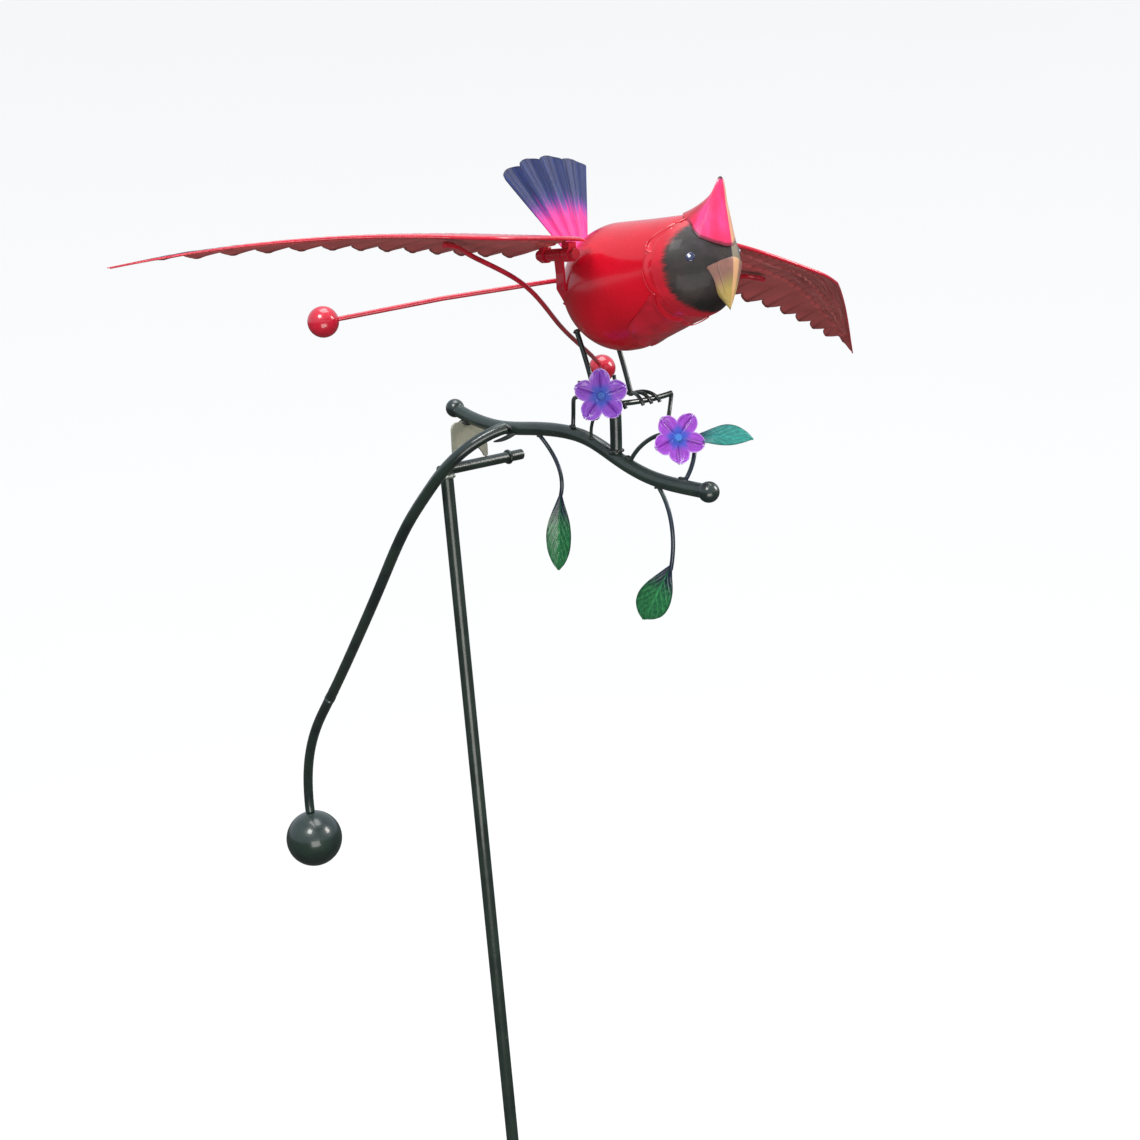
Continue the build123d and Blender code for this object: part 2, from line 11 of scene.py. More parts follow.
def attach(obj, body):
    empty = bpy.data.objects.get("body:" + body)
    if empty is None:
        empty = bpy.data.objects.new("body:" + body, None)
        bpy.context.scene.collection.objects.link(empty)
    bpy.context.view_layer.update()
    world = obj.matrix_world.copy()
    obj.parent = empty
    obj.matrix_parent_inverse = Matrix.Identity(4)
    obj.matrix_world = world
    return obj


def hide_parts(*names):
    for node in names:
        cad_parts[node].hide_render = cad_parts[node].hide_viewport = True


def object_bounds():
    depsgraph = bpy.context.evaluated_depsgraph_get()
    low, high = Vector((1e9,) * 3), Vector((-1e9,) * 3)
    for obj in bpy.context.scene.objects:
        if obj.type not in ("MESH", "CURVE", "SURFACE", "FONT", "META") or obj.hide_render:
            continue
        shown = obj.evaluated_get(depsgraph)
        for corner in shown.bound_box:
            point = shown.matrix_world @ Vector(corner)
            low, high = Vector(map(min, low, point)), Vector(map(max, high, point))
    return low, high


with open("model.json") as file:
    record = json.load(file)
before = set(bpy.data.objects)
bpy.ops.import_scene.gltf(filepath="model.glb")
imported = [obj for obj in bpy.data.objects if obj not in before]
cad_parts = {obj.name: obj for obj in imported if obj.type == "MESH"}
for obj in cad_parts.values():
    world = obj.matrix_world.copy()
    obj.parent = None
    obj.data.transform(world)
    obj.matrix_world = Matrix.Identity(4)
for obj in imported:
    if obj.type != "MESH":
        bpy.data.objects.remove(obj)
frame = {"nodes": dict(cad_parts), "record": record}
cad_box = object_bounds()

# Garden whirligig: a rocking enamelled bird on a branch. The pieces are laid out in millimetres and
# build() turns them to metres; lamps, floor and camera are in metres.
# +X is where the bird looks, +Y its left, +Z up.
MM = 0.001
RIGHT, LEFT = -1, 1
COAT_ROUGH = 0.06


# ---- material graphs
class Graph:
    """The node tree of a material or world, built one node per call."""

    def __init__(self, name, kind="materials"):
        self.owner = getattr(bpy.data, kind).new(name)
        self.owner.use_nodes = True
        self.tree = self.owner.node_tree
        self.tree.nodes.clear()

    def add(self, kind, inputs=None, output=0, **settings):
        made = self.tree.nodes.new("ShaderNode" + kind)
        for key, value in settings.items():
            setattr(made, key, value)
        for key, value in (inputs or {}).items():
            if isinstance(value, bpy.types.NodeSocket):
                self.tree.links.new(value, made.inputs[key])
            elif value is not None:
                made.inputs[key].default_value = value
        return made.outputs[output]

    def noise(self, scale, detail=3.0, stretch=(1, 1, 1), rough=0.5):
        place = self.add("TexCoord", output="Object")
        where = self.add("Mapping", {"Vector": place, "Scale": stretch})
        settings = {"Vector": where, "Scale": scale, "Detail": detail, "Roughness": rough}
        return self.add("TexNoise", settings)

    def field_noise(self, across, along, scale, detail=3.0):
        """Noise in a piece's own field coordinates, so that streaks follow the shape."""
        where = self.add("CombineXYZ", {0: across, 1: along, 2: 0.0})
        return self.add("TexNoise", {"Vector": where, "Scale": scale, "Detail": detail})

    def math(self, operation, a, b):
        return self.add("Math", {0: a, 1: b}, operation=operation)

    def times(self, a, b):
        return self.math("MULTIPLY", a, b)

    def plus(self, a, b):
        return self.math("ADD", a, b)

    def jitter(self, value, grain, amount):
        """The value moved up and down by a noise from 0 to 1."""
        return self.plus(value, self.times(self.math("SUBTRACT", grain, 0.5), amount))

    def band(self, value, low, high):
        """0 below low, 1 above high, smooth between."""
        return self.add("MapRange", {"Value": value, "From Min": low, "From Max": high},
                        interpolation_type="SMOOTHSTEP")

    def below(self, value, low, high):
        return self.math("SUBTRACT", 1.0, self.band(value, low, high))

    def span(self, value, low, high):
        """A value from 0 to 1 turned to one from low to high."""
        return self.add("MapRange", {"Value": value, "To Min": low, "To Max": high})

    def mix(self, factor, a, b):
        return self.add("Mix", {0: factor, 6: a, 7: b}, output=2, data_type="RGBA")

    def field(self, name):
        return self.add("Attribute", output="Fac", attribute_name=name)

    def finish(self, colour, rough, height, relief, coat):
        """A coated shader; relief is the bump's depth in millimetres."""
        normal = self.add("Bump", {"Height": height, "Distance": relief * MM, "Strength": 1.0})
        shader = self.add("BsdfPrincipled", {
            "Base Color": colour, "Roughness": rough, "Normal": normal, "Coat Weight": coat,
            "Coat Roughness": COAT_ROUGH,
        })
        self.add_output(shader)
        return self.owner

    def add_output(self, shader, kind="Material"):
        out = self.tree.nodes.new("ShaderNodeOutput" + kind)
        self.tree.links.new(shader, out.inputs["Surface"])


def rgb(r, g, b):
    return (r, g, b, 1.0)


def enamel(name, main, shade, rough=(0.16, 0.34), coat=0.6, cloud=22.0, chips=0.0, under=None,
           relief=0.12):
    """Brushed-on enamel: cloudy colour, dusty patches, orange-peel relief and a few chips."""
    g = Graph(name)
    clouds = g.noise(cloud, 4.0)
    fine = g.noise(420.0, 2.0)
    colour = g.mix(g.band(clouds, 0.38, 0.68), rgb(*main), rgb(*shade))
    specks = g.times(g.band(fine, 0.55, 0.8), 0.25)
    colour = g.mix(specks, colour, rgb(*[0.5 * c for c in shade]))
    rough_value = g.span(g.noise(60.0, 5.0), *rough)
    if chips:
        spots = g.band(g.noise(95.0, 6.0, rough=0.7), 0.74 - chips, 0.76 - chips)
        colour = g.mix(spots, colour, rgb(*(under or (0.16, 0.15, 0.13))))
        rough_value = g.plus(rough_value, g.times(spots, 0.3))
    height = g.plus(g.times(fine, 0.25), g.noise(130.0, 3.0))
    return g.finish(colour, rough_value, height, relief, coat)


def weld_metal(name, main, shade):
    g = Graph(name)
    lumps = g.noise(320.0, 5.0)
    colour = g.mix(g.band(lumps, 0.35, 0.65), rgb(*main), rgb(*shade))
    return g.finish(colour, g.span(g.noise(150.0), 0.3, 0.6), lumps, 0.5, 0.3)


def wing_top_paint():
    """Red enamel with painted shade in the feather grooves and under each row's edge, turning blue-black
    towards the tip.
    """
    g = Graph("wing_top_enamel")
    span, chord, groove = g.field("span"), g.field("chord"), g.field("groove")
    streaks = g.field_noise(g.times(g.field("feather"), 9.0), chord, 3.0, 5.0)
    red = g.mix(g.band(streaks, 0.35, 0.7), rgb(0.60, 0.012, 0.035), rgb(0.42, 0.006, 0.02))
    # painted shade: the feather grooves and the strip under each row's edge are darkened
    red = g.mix(g.times(groove, 0.75), red, rgb(0.16, 0.003, 0.012))
    reach = g.plus(span, g.times(chord, 0.22))
    reach = g.jitter(reach, streaks, 0.35)
    navy = g.mix(g.band(g.noise(50.0), 0.4, 0.6), rgb(0.006, 0.010, 0.035), rgb(0.02, 0.012, 0.04))
    colour = g.mix(g.band(reach, 0.66, 0.88), red, navy)
    return g.finish(colour, g.span(g.noise(70.0), 0.2, 0.38), streaks, 0.25, 0.5)


def wing_under_paint():
    """Thin, dull brownish red with pale barb streaks on the coverts, painted shade in the feather grooves
    and a painted shade band along the trailing feather ends.
    """
    g = Graph("wing_under_enamel")
    chord, groove, feather = g.field("chord"), g.field("groove"), g.field("feather")
    barbs = g.field_noise(g.times(g.field("span"), 3.0), g.times(chord, 16.0), 2.6, 5.0)
    cloud = g.noise(26.0, 4.0)
    colour = g.mix(g.band(cloud, 0.35, 0.7), rgb(0.58, 0.115, 0.118), rgb(0.47, 0.085, 0.088))
    coverts = g.below(chord, 0.38, 0.52)
    light = g.times(g.band(barbs, 0.50, 0.66), g.times(coverts, 0.75))
    colour = g.mix(light, colour, rgb(0.72, 0.27, 0.265))
    dark = g.times(g.below(barbs, 0.34, 0.46), g.times(coverts, 0.6))
    colour = g.mix(dark, colour, rgb(0.16, 0.016, 0.022))
    quill = g.field_noise(g.times(feather, 6.0), chord, 2.0, 4.0)
    colour = g.mix(g.times(g.band(quill, 0.55, 0.75), 0.35), colour, rgb(0.44, 0.12, 0.11))
    # painted shade: the feather grooves are darkened
    colour = g.mix(g.times(groove, 0.7), colour, rgb(0.17, 0.026, 0.030))
    # painted shade: a dark band along the trailing feather ends
    trailing_shade = g.times(g.band(chord, 0.965, 0.995), 0.8)
    colour = g.mix(trailing_shade, colour, rgb(0.07, 0.022, 0.018))
    return g.finish(colour, g.span(g.noise(90.0), 0.38, 0.58), barbs, 0.35, 0.15)


def tail_paint():
    """Hot pink at the root through violet to navy, brushed lengthways with pale streaks, with painted
    shade at the notches between lobes.
    """
    g = Graph("tail_enamel")
    out, pleat = g.field("out"), g.field("pleat")
    brush = g.field_noise(g.times(g.field("fan"), 26.0), g.times(out, 1.6), 1.6, 5.0)
    shift = g.jitter(out, brush, 0.62)
    pink = g.mix(g.band(brush, 0.52, 0.68), rgb(0.74, 0.018, 0.23), rgb(0.86, 0.12, 0.40))
    # painted shade: the pink darkened at the notches between lobes
    pink = g.mix(g.times(pleat, 0.45), pink, rgb(0.42, 0.008, 0.11))
    violet = g.mix(g.band(brush, 0.45, 0.62), rgb(0.13, 0.020, 0.26), rgb(0.30, 0.045, 0.38))
    navy = g.mix(g.band(brush, 0.45, 0.66), rgb(0.004, 0.010, 0.075), rgb(0.008, 0.030, 0.15))
    colour = g.mix(g.band(shift, 0.43, 0.58), pink, violet)
    colour = g.mix(g.band(shift, 0.54, 0.68), colour, navy)
    colour = g.mix(g.times(g.band(out, 0.975, 1.0), 0.5), colour, rgb(0.01, 0.01, 0.03))
    return g.finish(colour, g.span(g.noise(80.0), 0.32, 0.50), brush, 0.2, 0.12)


def mask_paint():
    """Brown-black brushed over the red hood, with a ragged hairy edge, a painted blue-grey reflection on
    the near side and a painted olive reflection on the far face beside the ridge.
    """
    g = Graph("mask_enamel")
    edge, around = g.field("edge"), g.field("around")
    hair = g.field_noise(g.times(around, 60.0), g.times(edge, 2.0), 2.2, 4.0)
    ragged = g.jitter(edge, hair, 0.26)
    cloud = g.noise(60.0, 5.0)
    black = g.mix(g.band(cloud, 0.42, 0.66), rgb(0.008, 0.0045, 0.0045), rgb(0.024, 0.013, 0.011))
    # painted reflection: a blue-grey patch on the near side of the glossy black
    bloom = g.times(g.field("bloom"), g.band(g.noise(110.0, 4.0), 0.35, 0.65))
    black = g.mix(g.times(bloom, 0.35), black, rgb(0.07, 0.065, 0.10))
    # painted reflection: olive sheen on the far face beside the ridge
    mask_far_sheen = g.times(g.field("far_front"), 0.85)
    black = g.mix(mask_far_sheen, black, rgb(0.30, 0.24, 0.16))
    red = g.mix(g.band(cloud, 0.4, 0.6), rgb(0.62, 0.010, 0.028), rgb(0.50, 0.008, 0.022))
    colour = g.mix(g.band(ragged, 0.80, 0.88), black, red)
    return g.finish(colour, g.span(g.noise(80.0), 0.42, 0.62), hair, 0.12, 0.08)


def crest_paint():
    g = Graph("crest_enamel")
    height, front, far, hem = g.field("height"), g.field("front"), g.field("far"), g.field("hem")
    cloud = g.noise(70.0, 5.0, (1, 1, 0.4))
    pink = g.mix(g.band(cloud, 0.4, 0.66), rgb(0.78, 0.018, 0.11), rgb(0.83, 0.05, 0.25))
    red = g.mix(g.band(cloud, 0.4, 0.6), rgb(0.60, 0.006, 0.022), rgb(0.42, 0.004, 0.018))
    colour = g.mix(front, red, pink)
    # painted reflection: the far face beside the front ridge turned pale cream-peach
    crest_far_sheen = g.mix(g.band(cloud, 0.35, 0.65), rgb(0.85, 0.45, 0.20), rgb(0.86, 0.24, 0.16))
    colour = g.mix(g.times(far, 0.9), colour, crest_far_sheen)
    colour = g.mix(g.times(hem, 0.9), colour, rgb(0.13, 0.006, 0.016))
    tip = g.band(g.plus(height, g.times(cloud, 0.05)), 0.93, 1.0)
    colour = g.mix(tip, colour, rgb(0.035, 0.008, 0.010))
    return g.finish(colour, g.span(cloud, 0.22, 0.40), cloud, 0.15, 0.45)


def beak_paint():
    g = Graph("beak_enamel")
    down, front = g.field("down"), g.field("front")
    cloud = g.noise(90.0, 5.0)
    shift = g.jitter(down, cloud, 0.3)
    base = g.mix(g.band(cloud, 0.4, 0.65), rgb(0.33, 0.155, 0.125), rgb(0.26, 0.13, 0.10))
    gold = g.mix(g.band(cloud, 0.4, 0.65), rgb(0.50, 0.36, 0.105), rgb(0.38, 0.29, 0.10))
    colour = g.mix(g.band(shift, 0.30, 0.68), base, gold)
    # painted highlight: pale cream sheen on the far face beside the ridge
    colour = g.mix(g.times(front, 0.85), colour, rgb(0.84, 0.47, 0.23))
    # painted shade in the mouth crease
    colour = g.mix(g.times(g.field("groove"), 0.35), colour, rgb(0.06, 0.03, 0.015))
    colour = g.mix(g.band(down, 0.95, 1.0), colour, rgb(0.10, 0.06, 0.02))
    return g.finish(colour, g.span(cloud, 0.3, 0.5), cloud, 0.15, 0.25)


def petal_paint(name, main, deep, pale):
    g = Graph(name)
    out, vein, rim = g.field("out"), g.field("vein"), g.field("rim")
    brush = g.field_noise(g.times(g.field("side"), 5.0), out, 2.5, 5.0)
    colour = g.mix(g.band(brush, 0.38, 0.66), rgb(*main), rgb(*deep))
    colour = g.mix(g.times(vein, 0.6), colour, rgb(*[0.3 * c for c in deep]))
    colour = g.mix(g.times(rim, 0.75), colour, rgb(*pale))
    colour = g.mix(g.below(out, 0.22, 0.50), colour, rgb(0.035, 0.07, 0.48))
    return g.finish(colour, g.span(g.noise(120.0), 0.22, 0.42), brush, 0.2, 0.4)


def leaf_paint(name, main, light, stem_end):
    g = Graph(name)
    along, vein, rim = g.field("along"), g.field("vein"), g.field("rim")
    brush = g.field_noise(g.times(g.field("side"), 4.0), g.times(along, 7.0), 2.2, 5.0)
    colour = g.mix(g.band(brush, 0.4, 0.66), rgb(*main), rgb(*light))
    shift = g.jitter(along, brush, 0.3)
    colour = g.mix(g.below(shift, 0.20, 0.48), colour, rgb(*stem_end))
    colour = g.mix(g.times(vein, 0.55), colour, rgb(*[1.9 * c for c in light]))
    colour = g.mix(g.times(rim, 0.6), colour, rgb(*[0.35 * c for c in main]))
    return g.finish(colour, g.span(g.noise(100.0), 0.24, 0.42), brush, 0.25, 0.4)


red_main, red_shade = (0.62, 0.003, 0.018), (0.48, 0.002, 0.012)
MATERIALS = {
    "stake_green": enamel("stake_enamel", (0.020, 0.034, 0.027), (0.010, 0.018, 0.015), (0.22, 0.42), 0.4,
                          30.0, 0.03, (0.10, 0.11, 0.09), 0.2),
    "branch_green": enamel("branch_enamel", (0.020, 0.036, 0.028), (0.009, 0.018, 0.018), (0.2, 0.38), 0.5,
                           34.0, 0.03, (0.09, 0.10, 0.08), 0.22),
    "saddle_grey": enamel("saddle_enamel", (0.33, 0.33, 0.25), (0.24, 0.24, 0.19), (0.35, 0.55), 0.15,
                          40.0, 0.05, (0.12, 0.11, 0.07), 0.2),
    "wing_red": enamel("wing_edge_enamel", (0.64, 0.014, 0.04), (0.50, 0.010, 0.03), (0.2, 0.35), 0.5),
    "rod_red": enamel("rod_enamel", (0.58, 0.014, 0.038), (0.44, 0.010, 0.026), (0.16, 0.32), 0.6,
                      60.0, 0.02, (0.16, 0.05, 0.04)),
    "body_red": enamel("body_enamel", red_main, red_shade, (0.20, 0.32), 0.35, 14.0, relief=0.10),
    "mask_black": mask_paint(),
    "beak_gold": beak_paint(),
    "tail_pink": tail_paint(),
    "petal_violet": petal_paint("petal_enamel", (0.30, 0.075, 0.62), (0.20, 0.035, 0.46),
                                (0.62, 0.42, 0.86)),
    "flower_blue": enamel("flower_centre_enamel", (0.05, 0.20, 0.62), (0.03, 0.08, 0.40), (0.2, 0.4), 0.5),
    "leaf_teal": leaf_paint("leaf_teal_enamel", (0.022, 0.22, 0.19), (0.05, 0.36, 0.30),
                            (0.02, 0.10, 0.14)),
    "leaf_green": leaf_paint("leaf_green_enamel", (0.012, 0.115, 0.045), (0.035, 0.22, 0.075),
                             (0.006, 0.010, 0.035)),
}
EXTRA = {
    "wing_top": wing_top_paint(),
    "wing_under": wing_under_paint(),
    "crest": crest_paint(),
    "petal_lower": petal_paint("petal_lower_enamel", (0.36, 0.06, 0.60), (0.24, 0.03, 0.42),
                               (0.66, 0.42, 0.84)),
    "breast": enamel("breast_enamel", (0.62, 0.012, 0.032), (0.40, 0.006, 0.018), (0.2, 0.4), 0.6, 45.0,
                     0.05, (0.74, 0.05, 0.07), 0.25),
    "hood": enamel("hood_enamel", (0.64, 0.008, 0.026), (0.52, 0.005, 0.018), (0.16, 0.3), 0.7, 30.0,
                   relief=0.2),
    "stem": enamel("stem_enamel", (0.020, 0.036, 0.028), (0.009, 0.018, 0.018), (0.25, 0.45), 0.4, 60.0,
                   0.05, (0.08, 0.09, 0.07), 0.2),
    "leaf_stem": enamel("leaf_stem_enamel", (0.015, 0.025, 0.05), (0.012, 0.03, 0.026), (0.25, 0.4),
                        0.4, 60.0),
    "weld_dark": weld_metal("weld_dark", (0.012, 0.016, 0.014), (0.035, 0.045, 0.038)),
    "weld_red": weld_metal("weld_red", (0.50, 0.010, 0.028), (0.30, 0.006, 0.018)),
    "weld_bare": weld_metal("weld_bare", (0.42, 0.44, 0.38), (0.08, 0.10, 0.08)),
    "eye": enamel("eye_enamel", (0.95, 0.96, 1.0), (0.55, 0.66, 0.95), (0.1, 0.2), 0.8),
    "pupil": enamel("eye_ring_enamel", (0.030, 0.036, 0.10), (0.012, 0.014, 0.03), (0.08, 0.16), 1.0),
    "hinge_pin": enamel("pin_enamel", (0.55, 0.03, 0.05), (0.40, 0.02, 0.03), (0.2, 0.35), 0.4, 60.0, 0.08,
                        (0.42, 0.36, 0.33)),
}


# ---- mesh helpers
def build(name, points, faces, materials, slots=None, fields=None, sharp=40.0):
    """A mesh object from points in millimetres."""
    mesh = bpy.data.meshes.new(name)
    mesh.from_pydata([tuple(p) for p in np.asarray(points, float) * MM], [], [list(f) for f in faces])
    for key, values in (fields or {}).items():
        layer = mesh.attributes.new(key, "FLOAT", "POINT")
        layer.data.foreach_set("value", np.asarray(values, np.float32))
    for material in materials:
        mesh.materials.append(material)
    if slots is not None:
        mesh.polygons.foreach_set("material_index", np.asarray(slots, np.int32))
    work = bmesh.new()
    work.from_mesh(mesh)
    bmesh.ops.recalc_face_normals(work, faces=work.faces)
    work.to_mesh(mesh)
    work.free()
    mesh.polygons.foreach_set("use_smooth", [True] * len(mesh.polygons))
    mesh.set_sharp_from_angle(angle=radians(sharp))
    mesh.update()
    made = bpy.data.objects.new(name, mesh)
    bpy.context.scene.collection.objects.link(made)
    return made


def unit(vectors):
    return vectors / np.maximum(np.linalg.norm(vectors, axis=-1, keepdims=True), 1e-9)


def grid_normals(grid, closed):
    across = np.roll(grid, -1, 1) - np.roll(grid, 1, 1) if closed else np.gradient(grid, axis=1)
    return unit(np.cross(np.gradient(grid, axis=0), across))


def sheet(grid, thickness, facing, closed=False):
    """Points, faces and face slots (0 top, 1 underside, 2 edge) of a sheet whose top is the grid.
    facing is the way the top looks: one direction, or one per point."""
    rows, cols = grid.shape[:2]
    normals = grid_normals(grid, closed)
    side = 1 if (normals * facing).sum() > 0 else -1
    under = grid - side * thickness * normals
    points = np.concatenate([grid.reshape(-1, 3), under.reshape(-1, 3)])
    count = rows * cols
    faces, slots = [], []
    for i in range(rows - 1):
        for j in range(cols if closed else cols - 1):
            k = (j + 1) % cols
            quad = (i * cols + j, i * cols + k, (i + 1) * cols + k, (i + 1) * cols + j)
            faces.append(quad)
            faces.append(tuple(count + n for n in reversed(quad)))
            slots += [0, 1]
    rims = [[(0, j) for j in range(cols)], [(rows - 1, j) for j in range(cols)]]
    if not closed:
        rims += [[(i, 0) for i in range(rows)], [(i, cols - 1) for i in range(rows)]]
    for rim in rims:
        marks = [i * cols + j for i, j in rim]
        pairs = list(zip(marks, marks[1:])) + ([(marks[-1], marks[0])] if closed else [])
        for a, b in pairs:
            faces.append((a, b, count + b, count + a))
            slots.append(2)
    return points, faces, slots


def fields_of(grid, **values):
    """Named values over a sheet's grid, the same for its top and underside."""
    shape = grid.shape[:2]
    return {key: np.tile(np.broadcast_to(value, shape).ravel(), 2) for key, value in values.items()}


def tube(line, radii, sides=14, closed=False):
    """Points and faces of a round bar along a line; radii is one number or one per point."""
    line = np.asarray(line, float)
    radii = np.broadcast_to(radii, len(line))
    ahead = np.roll(line, -1, 0) - np.roll(line, 1, 0) if closed else np.gradient(line, axis=0)
    ahead = unit(ahead)
    helper = np.array((0.31, 0.22, 0.92))
    points = []
    for centre, direction, radius in zip(line, ahead, radii):
        first = unit(np.cross(direction, helper))
        second = np.cross(direction, first)
        for n in range(sides):
            turn = 2 * pi * n / sides
            points.append(centre + radius * (cos(turn) * first + sin(turn) * second))
    count = len(line)
    faces = []
    for i in range(count if closed else count - 1):
        for j in range(sides):
            a, b, k = i * sides, ((i + 1) % count) * sides, (j + 1) % sides
            faces.append((a + j, a + k, b + k, b + j))
    if not closed:
        faces.append(tuple(range(sides)))
        faces.append(tuple((count - 1) * sides + n for n in reversed(range(sides))))
    return np.array(points), faces


def joined(parts):
    """Several (points, faces, slot) pieces as one points, faces, slots."""
    points, faces, slots, start = [], [], [], 0
    for part_points, part_faces, slot in parts:
        points.append(part_points)
        faces += [tuple(start + n for n in face) for face in part_faces]
        slots += [slot] * len(part_faces) if isinstance(slot, int) else list(slot)
        start += len(part_points)
    return np.concatenate(points), faces, slots


def smooth_values(marks, values, at):
    """A curve through (marks, values) by cubic Hermite pieces with centred slopes."""
    marks, values, at = np.asarray(marks, float), np.asarray(values, float), np.asarray(at, float)
    slopes = np.gradient(values, marks, axis=0)
    n = np.clip(np.searchsorted(marks, at) - 1, 0, len(marks) - 2)
    step = marks[n + 1] - marks[n]
    t = (at - marks[n]) / step
    if values.ndim > 1:
        step, t = step[:, None], t[:, None]
    return ((1 + 2 * t) * (1 - t) ** 2 * values[n] + t * (1 - t) ** 2 * step * slopes[n]
            + t * t * (3 - 2 * t) * values[n + 1] + t * t * (t - 1) * step * slopes[n + 1])


def smoothstep(low, high, value):
    t = np.clip((value - low) / (high - low), 0, 1)
    return t * t * (3 - 2 * t)


def bell(value, centre, width):
    return np.exp(-((value - centre) / width) ** 2)


def half_round(share):
    """Height of a half circle over its width from 0 to 1."""
    return np.sqrt(np.clip(1 - (2 * share - 1) ** 2, 0, 1))


def settle(piece, body, slot, *nodes):
    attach(piece, body)
    if nodes:
        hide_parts(*nodes)
    return piece


# ---- body of the bird
EGG_CENTRE = np.array((219.0, 0.0, 157.0))
RISE = radians(10.9)
AXIS = np.array((cos(RISE), 0, sin(RISE)))
AXIS_UP = np.array((-sin(RISE), 0, cos(RISE)))
AXIS_LEFT = np.array((0.0, 1.0, 0.0))
REAR_R, HEAD_R, HEAD_ALONG = 51.0, 39.0, 73.0
TAPER = asin((REAR_R - HEAD_R) / HEAD_ALONG)
SHEET = 0.8
FACE_NARROWING = 0.15       # the face is squeezed from the sides towards its ridge


def wrap(points, grow):
    """The points moved onto the body's surface, grown by grow."""
    offset = points - EGG_CENTRE
    along = offset @ AXIS
    out = np.linalg.norm(offset - along[..., None] * AXIS, axis=-1)
    centre = np.clip(along - out * tan(TAPER), 0, HEAD_ALONG)
    radius = REAR_R - centre * (REAR_R - HEAD_R) / HEAD_ALONG + grow
    middle = EGG_CENTRE + centre[..., None] * AXIS
    wrapped = middle + unit(points - middle) * radius[..., None]
    wrapped[..., 1] *= 1 - FACE_NARROWING * smoothstep(298, 326, wrapped[..., 0])
    return wrapped


def dents(grid, scale, depth):
    """Soft unevenness of hand-beaten sheet."""
    flat = grid.reshape(-1, 3)
    return np.array([depth * noise.noise(Vector(p) / scale) for p in flat]).reshape(grid.shape[:2])


def body_shell(side, name):
    """Half of the egg: a rear ball, a cone and a head ball, rolled in along the middle seam."""
    turns = np.linspace(0.004, pi - 0.004, 110)
    angle = np.linspace(pi - 0.02, pi / 2 - TAPER, 70)
    rear = REAR_R * np.stack([np.cos(angle), np.sin(angle)], 1)
    angle = np.linspace(pi / 2 - TAPER, 0.02, 50)
    head = (HEAD_ALONG, 0) + HEAD_R * np.stack([np.cos(angle), np.sin(angle)], 1)
    cone = np.linspace(rear[-1], head[0], 32)[1:-1]
    along, out = np.concatenate([rear, cone, head]).T
    grid = (EGG_CENTRE + along[:, None, None] * AXIS
            + out[:, None, None] * (np.cos(turns)[None, :, None] * AXIS_UP
                                    + side * np.sin(turns)[None, :, None] * AXIS_LEFT))
    seam_roll = 0.5 * np.exp(-np.minimum(turns, pi - turns) * REAR_R / 1.2)
    grid = wrap(grid, dents(grid, 34.0, 0.25) - seam_roll)
    points, faces, _ = sheet(grid, SHEET, grid - EGG_CENTRE)
    piece = build(name + "_skin", points, faces, [MATERIALS["body_red"]])
    return settle(piece, "rocker", "body_red", name)


def polar_patch(rim, grow, rows, cols, inner=0.0):
    """Grid on the head round the face: rim(turn) is its outer angle in radians, turn 0 at the top."""
    face = np.array((0.993, 0, 0.121))
    up = np.array((-0.121, 0, 0.993))
    turns = np.linspace(0, 2 * pi, cols, endpoint=False)
    head_centre = EGG_CENTRE + HEAD_ALONG * AXIS
    steps = np.linspace(inner, 1, rows)
    angle = steps[:, None] * np.array([rim(t) for t in turns])[None, :]
    ring = np.cos(turns)[None, :, None] * up + np.sin(turns)[None, :, None] * AXIS_LEFT
    grid = head_centre + HEAD_R * (np.cos(angle)[..., None] * face + np.sin(angle)[..., None] * ring)
    return wrap(grid, grow), steps, turns


def hood_rim(turn):
    """Outer angle of the hood: eight curled points, drawn in under the crest."""
    away = min(turn, 2 * pi - turn)
    reach = radians(66 + 34 * float(smoothstep(radians(25), radians(68), away)))
    wave = abs(cos(4 * (away - radians(92)))) ** 0.55
    return reach + radians(9) * (wave - 0.45) * float(smoothstep(radians(20), radians(60), away))


def mask_rim(turn):
    away = min(turn, 2 * pi - turn)
    return radians(66 + 26 * float(smoothstep(radians(20), radians(85), away))
                   - 12 * float(smoothstep(radians(110), radians(170), away)))


def head_hood():
    rows, cols = 60, 400
    grid, steps, turns = polar_patch(hood_rim, SHEET, rows, cols, 0.35)
    curl = smoothstep(0.955, 1.0, steps)[:, None] * (0.55 + 0.45 * np.cos(5 * turns)[None, :])
    crease = 0.5 * bell(steps[:, None], 0.93, 0.02)
    grid = wrap(grid, SHEET + 0.3 + 0.9 * curl - crease + dents(grid, 14.0, 0.25))
    points, faces, _ = sheet(grid, SHEET, grid - (EGG_CENTRE + HEAD_ALONG * AXIS), closed=True)
    piece = build("head_hood_skin", points, faces, [EXTRA["hood"]])
    settle(piece, "rocker", "body_red", "head_hood")
    edge = wrap(grid[-1], SHEET + 1.5)
    radii = [0.42 + 0.22 * sin(3 * t) * cos(7 * t) for t in turns]
    points, faces = tube(edge, radii, 8, closed=True)
    rim = build("head_hood_rim", points, faces, [EXTRA["hood"]])
    return settle(rim, "rocker", "body_red")


def ridge_push(grid, top, fade):
    """Forward fold down the middle of the face, highest under the crest."""
    height = np.clip((grid[..., 2] - 158) / 28, 0, 1)
    front = smoothstep(298, 318, grid[..., 0])
    return top * height * front * np.exp(-np.abs(grid[..., 1]) / fade)


